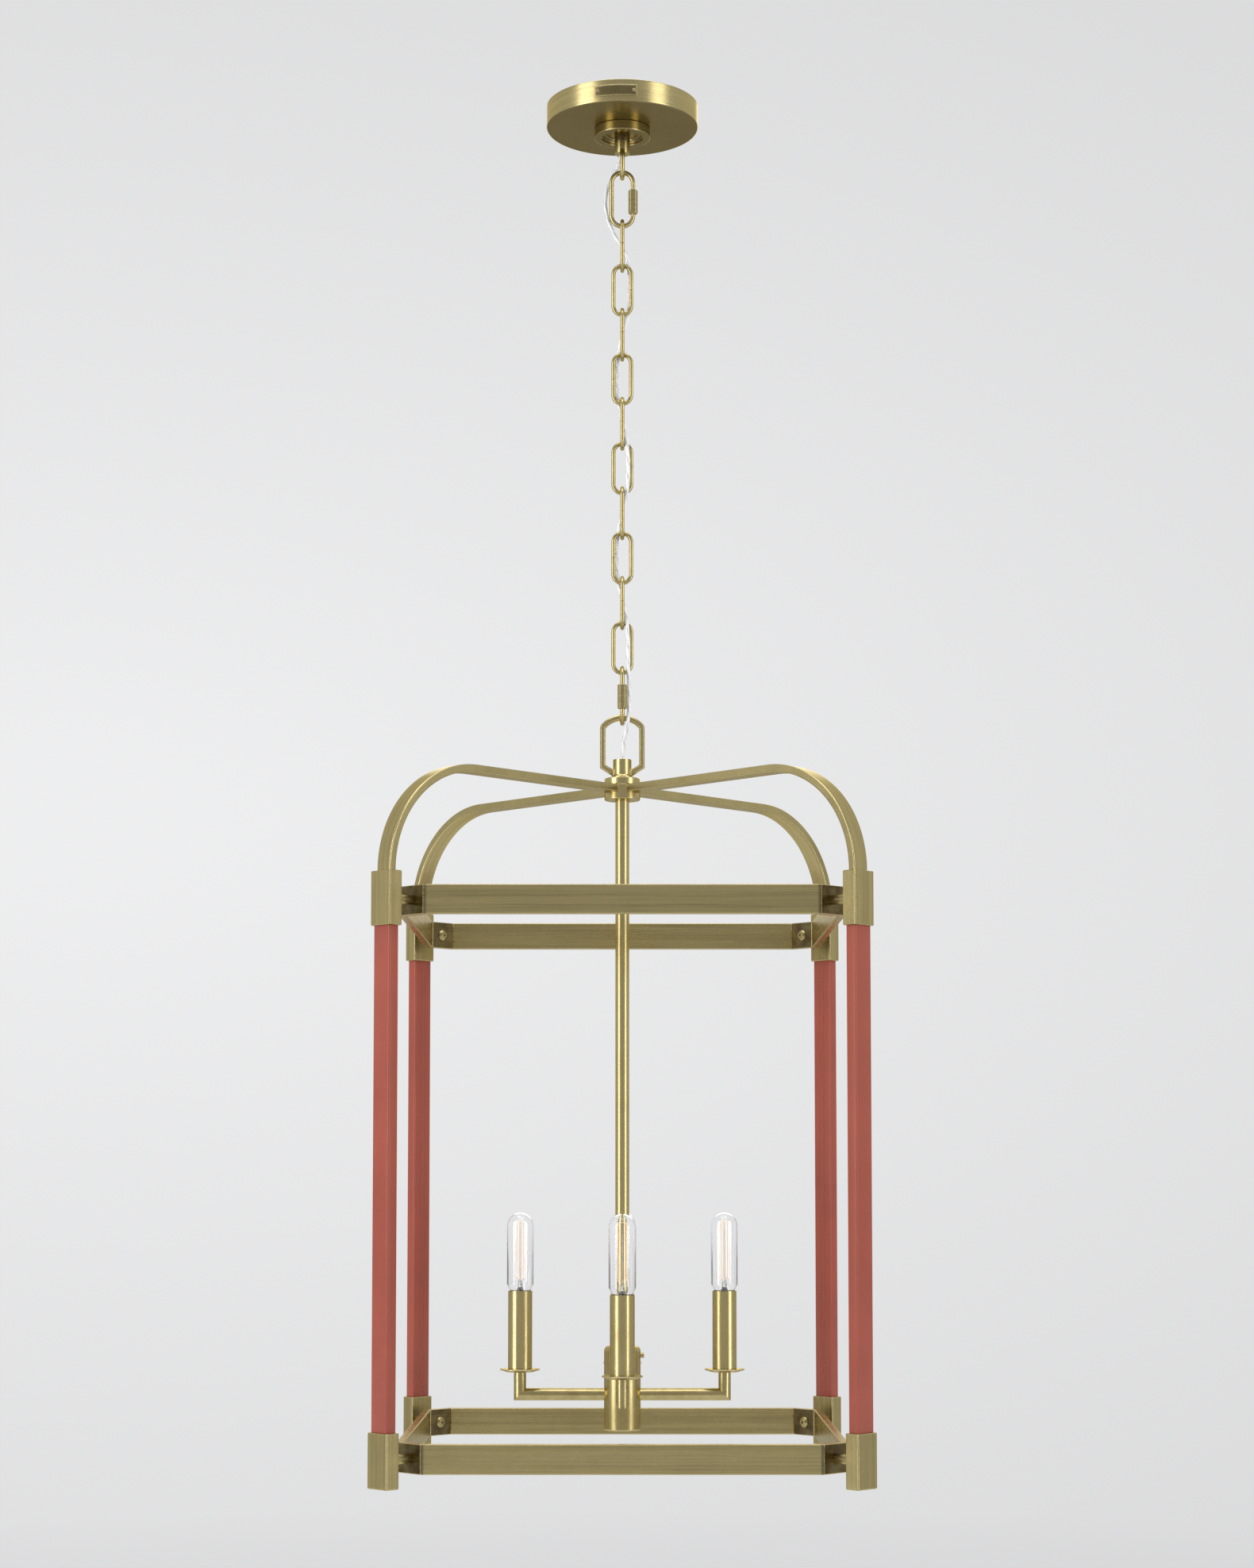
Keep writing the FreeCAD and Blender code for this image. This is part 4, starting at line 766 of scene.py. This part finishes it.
class LANTERN_OT_cord(bpy.types.Operator):
    """Runs the clear cord along the chain, in a length for each joint that it crosses"""

    bl_idname = "lantern.cord"
    bl_label = "Supply cord"

    def execute(self, context):
        spots = self.centreline()
        around = self.rings(spots)
        middles = [sum(corner.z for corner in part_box(node)) / 2 for node in HANGING_NODES]
        cuts = [min(range(len(spots)), key=lambda i: abs(spots[i].z - middle)) for middle in middles]
        cuts = [0, *cuts, len(spots) - 1]
        jacket = clear_cord()
        for number, (first, last) in enumerate(zip(cuts, cuts[1:])):
            piece = self.tube(f"supply_cord_{number + 1:02d}", around[first:last + 1])
            piece.data.materials.append(jacket)
            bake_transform(piece)
            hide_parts("supply_cord")
        return {"FINISHED"}

    def centreline(self):
        """The points of one smooth curve through the route."""
        curve = bpy.data.curves.new("cord_route", "CURVE")
        curve.dimensions = "3D"
        curve.resolution_u = 20
        spline = curve.splines.new("NURBS")
        spline.points.add(len(CORD_ROUTE) - 1)
        for point, place in zip(spline.points, CORD_ROUTE):
            point.co = (*(value * MM for value in place), 1)
        spline.order_u = 3
        spline.use_endpoint_u = True
        route = bpy.data.objects.new("cord_route", curve)
        bpy.context.scene.collection.objects.link(route)
        bpy.context.view_layer.update()
        line = bpy.data.meshes.new_from_object(route)
        spots = [vertex.co.copy() for vertex in line.vertices]
        bpy.data.objects.remove(route)
        if spots[0].z < spots[-1].z:
            spots.reverse()
        return spots

    def rings(self, spots, sides=16):
        """A ring of points round each spot, without twist from one to the next."""
        radius = sizes().cord_across / 2
        across = Vector((1, 0, 0))
        rings = []
        travelled = 0.0
        for number, spot in enumerate(spots):
            before, after = spots[max(number - 1, 0)], spots[min(number + 1, len(spots) - 1)]
            along = (after - before).normalized()
            across = (across - along * across.dot(along)).normalized()
            beside = along.cross(across)
            turns = [math.tau * side / sides for side in range(sides)]
            ring = [spot + (across * math.cos(t) + beside * math.sin(t)) * radius for t in turns]
            travelled += (spot - before).length
            rings.append((ring, travelled))
        return rings

    def tube(self, name, rings):
        """A closed tube through rings, with a map round and along it."""
        sides = len(rings[0][0])
        spots = [spot for ring, _ in rings for spot in ring]
        faces = []
        maps = []
        for row in range(len(rings) - 1):
            low, high = rings[row][1] / TWIST_LONG, rings[row + 1][1] / TWIST_LONG
            for side in range(sides):
                beside = (side + 1) % sides
                start, end = row * sides, (row + 1) * sides
                faces.append((start + side, start + beside, end + beside, end + side))
                left, right = side / sides, (side + 1) / sides
                maps.append([(left, low), (right, low), (right, high), (left, high)])
        last = (len(rings) - 1) * sides
        for cap in (tuple(reversed(range(sides))), tuple(range(last, last + sides))):
            faces.append(cap)
            maps.append([(0, 0)] * sides)
        mesh = bpy.data.meshes.new(name)
        mesh.from_pydata(spots, [], faces)
        layer = mesh.uv_layers.new(name="along")
        for face, corners in zip(mesh.polygons, maps):
            for loop, spot in zip(face.loop_indices, corners):
                layer.data[loop].uv = spot
        piece = bpy.data.objects.new(name, mesh)
        bpy.context.scene.collection.objects.link(piece)
        smooth(piece, 50)
        return piece


class LANTERN_OT_stage(bpy.types.Operator):
    """Sets the camera, a pale floor, the studio's lamps and its surroundings"""

    bl_idname = "lantern.stage"
    bl_label = "Stage"

    def execute(self, context):
        self.camera(context)
        self.floor(context)
        middle = Vector((0, 0, -0.75))
        self.lamp("left_softbox", (-2.3, -1.6, -0.3), middle, (1.2, 2.8), 44)
        self.lamp("right_softbox", (2.3, -1.6, -0.3), middle, (1.0, 2.8), 30)
        self.lamp("top_softbox", (0.0, -0.4, 1.9), middle, (2.4, 2.4), 40)
        self.lamp("back_softbox", (0.3, 2.9, 0.5), middle, (2.2, 1.4), 12)
        self.surroundings(context)
        context.scene.view_settings.view_transform = "Standard"
        return {"FINISHED"}

    def camera(self, context):
        stage = context.scene.lantern_stage
        data = bpy.data.cameras.new("camera")
        data.lens = stage.lens
        data.sensor_width = 36
        data.shift_x = stage.shift_x
        data.shift_y = stage.shift_y
        data.clip_end = 200
        camera = bpy.data.objects.new("camera", data)
        camera.location = (0, -stage.distance, -stage.below)
        camera.rotation_euler = (math.radians(90) + stage.tilt, 0, 0)
        context.scene.collection.objects.link(camera)
        context.scene.camera = camera

    def floor(self, context):
        """A pale floor that keeps the lantern's shadow and fades into the background far away."""
        stage = context.scene.lantern_stage
        deselect()
        bpy.ops.mesh.primitive_circle_add(
            vertices=96, radius=60, fill_type="NGON", location=(0, 0, CAD_LOW.z - stage.floor_below)
        )
        floor = named("floor")
        finish = Finish("pale_floor", Roughness=0.9)
        finish.set(finish.shader, {"Base Color": (0.74, 0.745, 0.75, 1)})
        away = finish.add("VectorMath", {0: finish.place((1, 1, 0))}, operation="LENGTH").outputs["Value"]
        far = finish.ramp(away, 1.2, 4.5, 0.45, 1.0)
        ray = finish.add("LightPath").outputs
        seen = finish.math("MAXIMUM", ray["Is Camera Ray"], ray["Is Transmission Ray"])
        clear = finish.add("BsdfTransparent").outputs[0]
        share = finish.math("MULTIPLY", seen, far)
        both = finish.add("MixShader", {0: share, 1: finish.shader.outputs[0], 2: clear}).outputs[0]
        finish.tree.links.new(both, finish.tree.nodes["Material Output"].inputs["Surface"])
        floor.data.materials.append(finish.material)

    def lamp(self, name, place, target, size, power):
        data = bpy.data.lights.new(name, "AREA")
        data.shape = "RECTANGLE"
        data.size, data.size_y = size
        data.energy = power
        lamp = bpy.data.objects.new(name, data)
        lamp.location = place
        lamp.rotation_euler = (target - Vector(place)).to_track_quat("-Z", "Y").to_euler()
        lamp.visible_camera = False
        bpy.context.scene.collection.objects.link(lamp)

    def surroundings(self, context):
        """A pale background where it is seen, with a painted brighter patch a little left of and above
        straight ahead, and a studio that is darker on the camera's side.
        """
        tone = context.scene.lantern_stage.background
        world = bpy.data.worlds.new("studio")
        world.use_nodes = True
        context.scene.world = world
        tree = world.node_tree
        tree.nodes.clear()

        def add(kind, **settings):
            node = tree.nodes.new(f"ShaderNode{kind}")
            for name, value in settings.items():
                setattr(node, name, value)
            return node

        def join(source, node, socket):
            tree.links.new(source, node.inputs[socket])

        # Painted light on the seen background: brightest a little left of and above straight ahead, fading
        # away from there.
        heading = add("TexCoord").outputs["Generated"]
        squeezed = add("Mapping")
        squeezed.inputs["Scale"].default_value = (0.8, 0.3, 1.6)
        join(heading, squeezed, 0)
        spread = add("VectorMath", operation="DISTANCE")
        join(squeezed.outputs[0], spread, 0)
        spread.inputs[1].default_value = (-0.152, 0.291, 0.20)
        fall = add("MapRange")
        join(spread.outputs["Value"], fall, "Value")
        for socket, level in (("From Min", 0.03), ("From Max", 0.50), ("To Min", 1.10), ("To Max", 0.92)):
            fall.inputs[socket].default_value = level
        seen = add("Background")
        seen.inputs["Color"].default_value = opaque(tone)
        join(fall.outputs[0], seen, "Strength")
        parts = add("SeparateXYZ")
        join(heading, parts, 0)
        side = add("MapRange")
        join(parts.outputs["Y"], side, "Value")
        for socket, level in (("From Min", -0.9), ("From Max", 0.6), ("To Min", 0.46), ("To Max", 0.70)):
            side.inputs[socket].default_value = level
        studio = add("Background")
        studio.inputs["Color"].default_value = (0.98, 0.985, 1.0, 1)
        join(side.outputs[0], studio, "Strength")
        ray = add("LightPath").outputs
        plain = add("Math", operation="MAXIMUM")
        join(ray["Is Camera Ray"], plain, 0)
        join(ray["Is Transmission Ray"], plain, 1)
        both = add("MixShader")
        join(plain.outputs[0], both, 0)
        join(studio.outputs[0], both, 1)
        join(seen.outputs[0], both, 2)
        join(both.outputs[0], add("OutputWorld"), "Surface")


class LANTERN_PT_panel(bpy.types.Panel):
    """The lantern's sizes, finishes and making steps"""

    bl_idname = "LANTERN_PT_panel"
    bl_label = "Lantern Pendant"
    bl_space_type = "VIEW_3D"
    bl_region_type = "UI"
    bl_category = "Lantern"

    def draw(self, context):
        scene = context.scene
        for group in (scene.lantern_finishes, scene.lantern_sizes, scene.lantern_stage):
            box = self.layout.box()
            for name in group.__annotations__:
                box.prop(group, name)
        for operator in OPERATORS:
            self.layout.operator(operator.bl_idname)


OPERATORS = (
    LANTERN_OT_stage, LANTERN_OT_cord, LANTERN_OT_ceiling_end, LANTERN_OT_chain, LANTERN_OT_bars,
    LANTERN_OT_leather, LANTERN_OT_candles, LANTERN_OT_bulbs,
)
GROUPS = {
    "lantern_finishes": LanternFinishes, "lantern_sizes": LanternSizes, "lantern_stage": LanternStage,
}


def register():
    for kind in (*GROUPS.values(), *OPERATORS, LANTERN_PT_panel):
        bpy.utils.register_class(kind)
    for name, group in GROUPS.items():
        setattr(bpy.types.Scene, name, bpy.props.PointerProperty(type=group))


def unregister():
    for name in GROUPS:
        delattr(bpy.types.Scene, name)
    for kind in reversed((*GROUPS.values(), *OPERATORS, LANTERN_PT_panel)):
        bpy.utils.unregister_class(kind)


def main():
    """Registers the add-on and makes everything in order."""
    register()
    for operator in OPERATORS:
        group, name = operator.bl_idname.split(".")
        getattr(getattr(bpy.ops, group), name)()
    deselect()


if __name__ == "__main__":
    main()
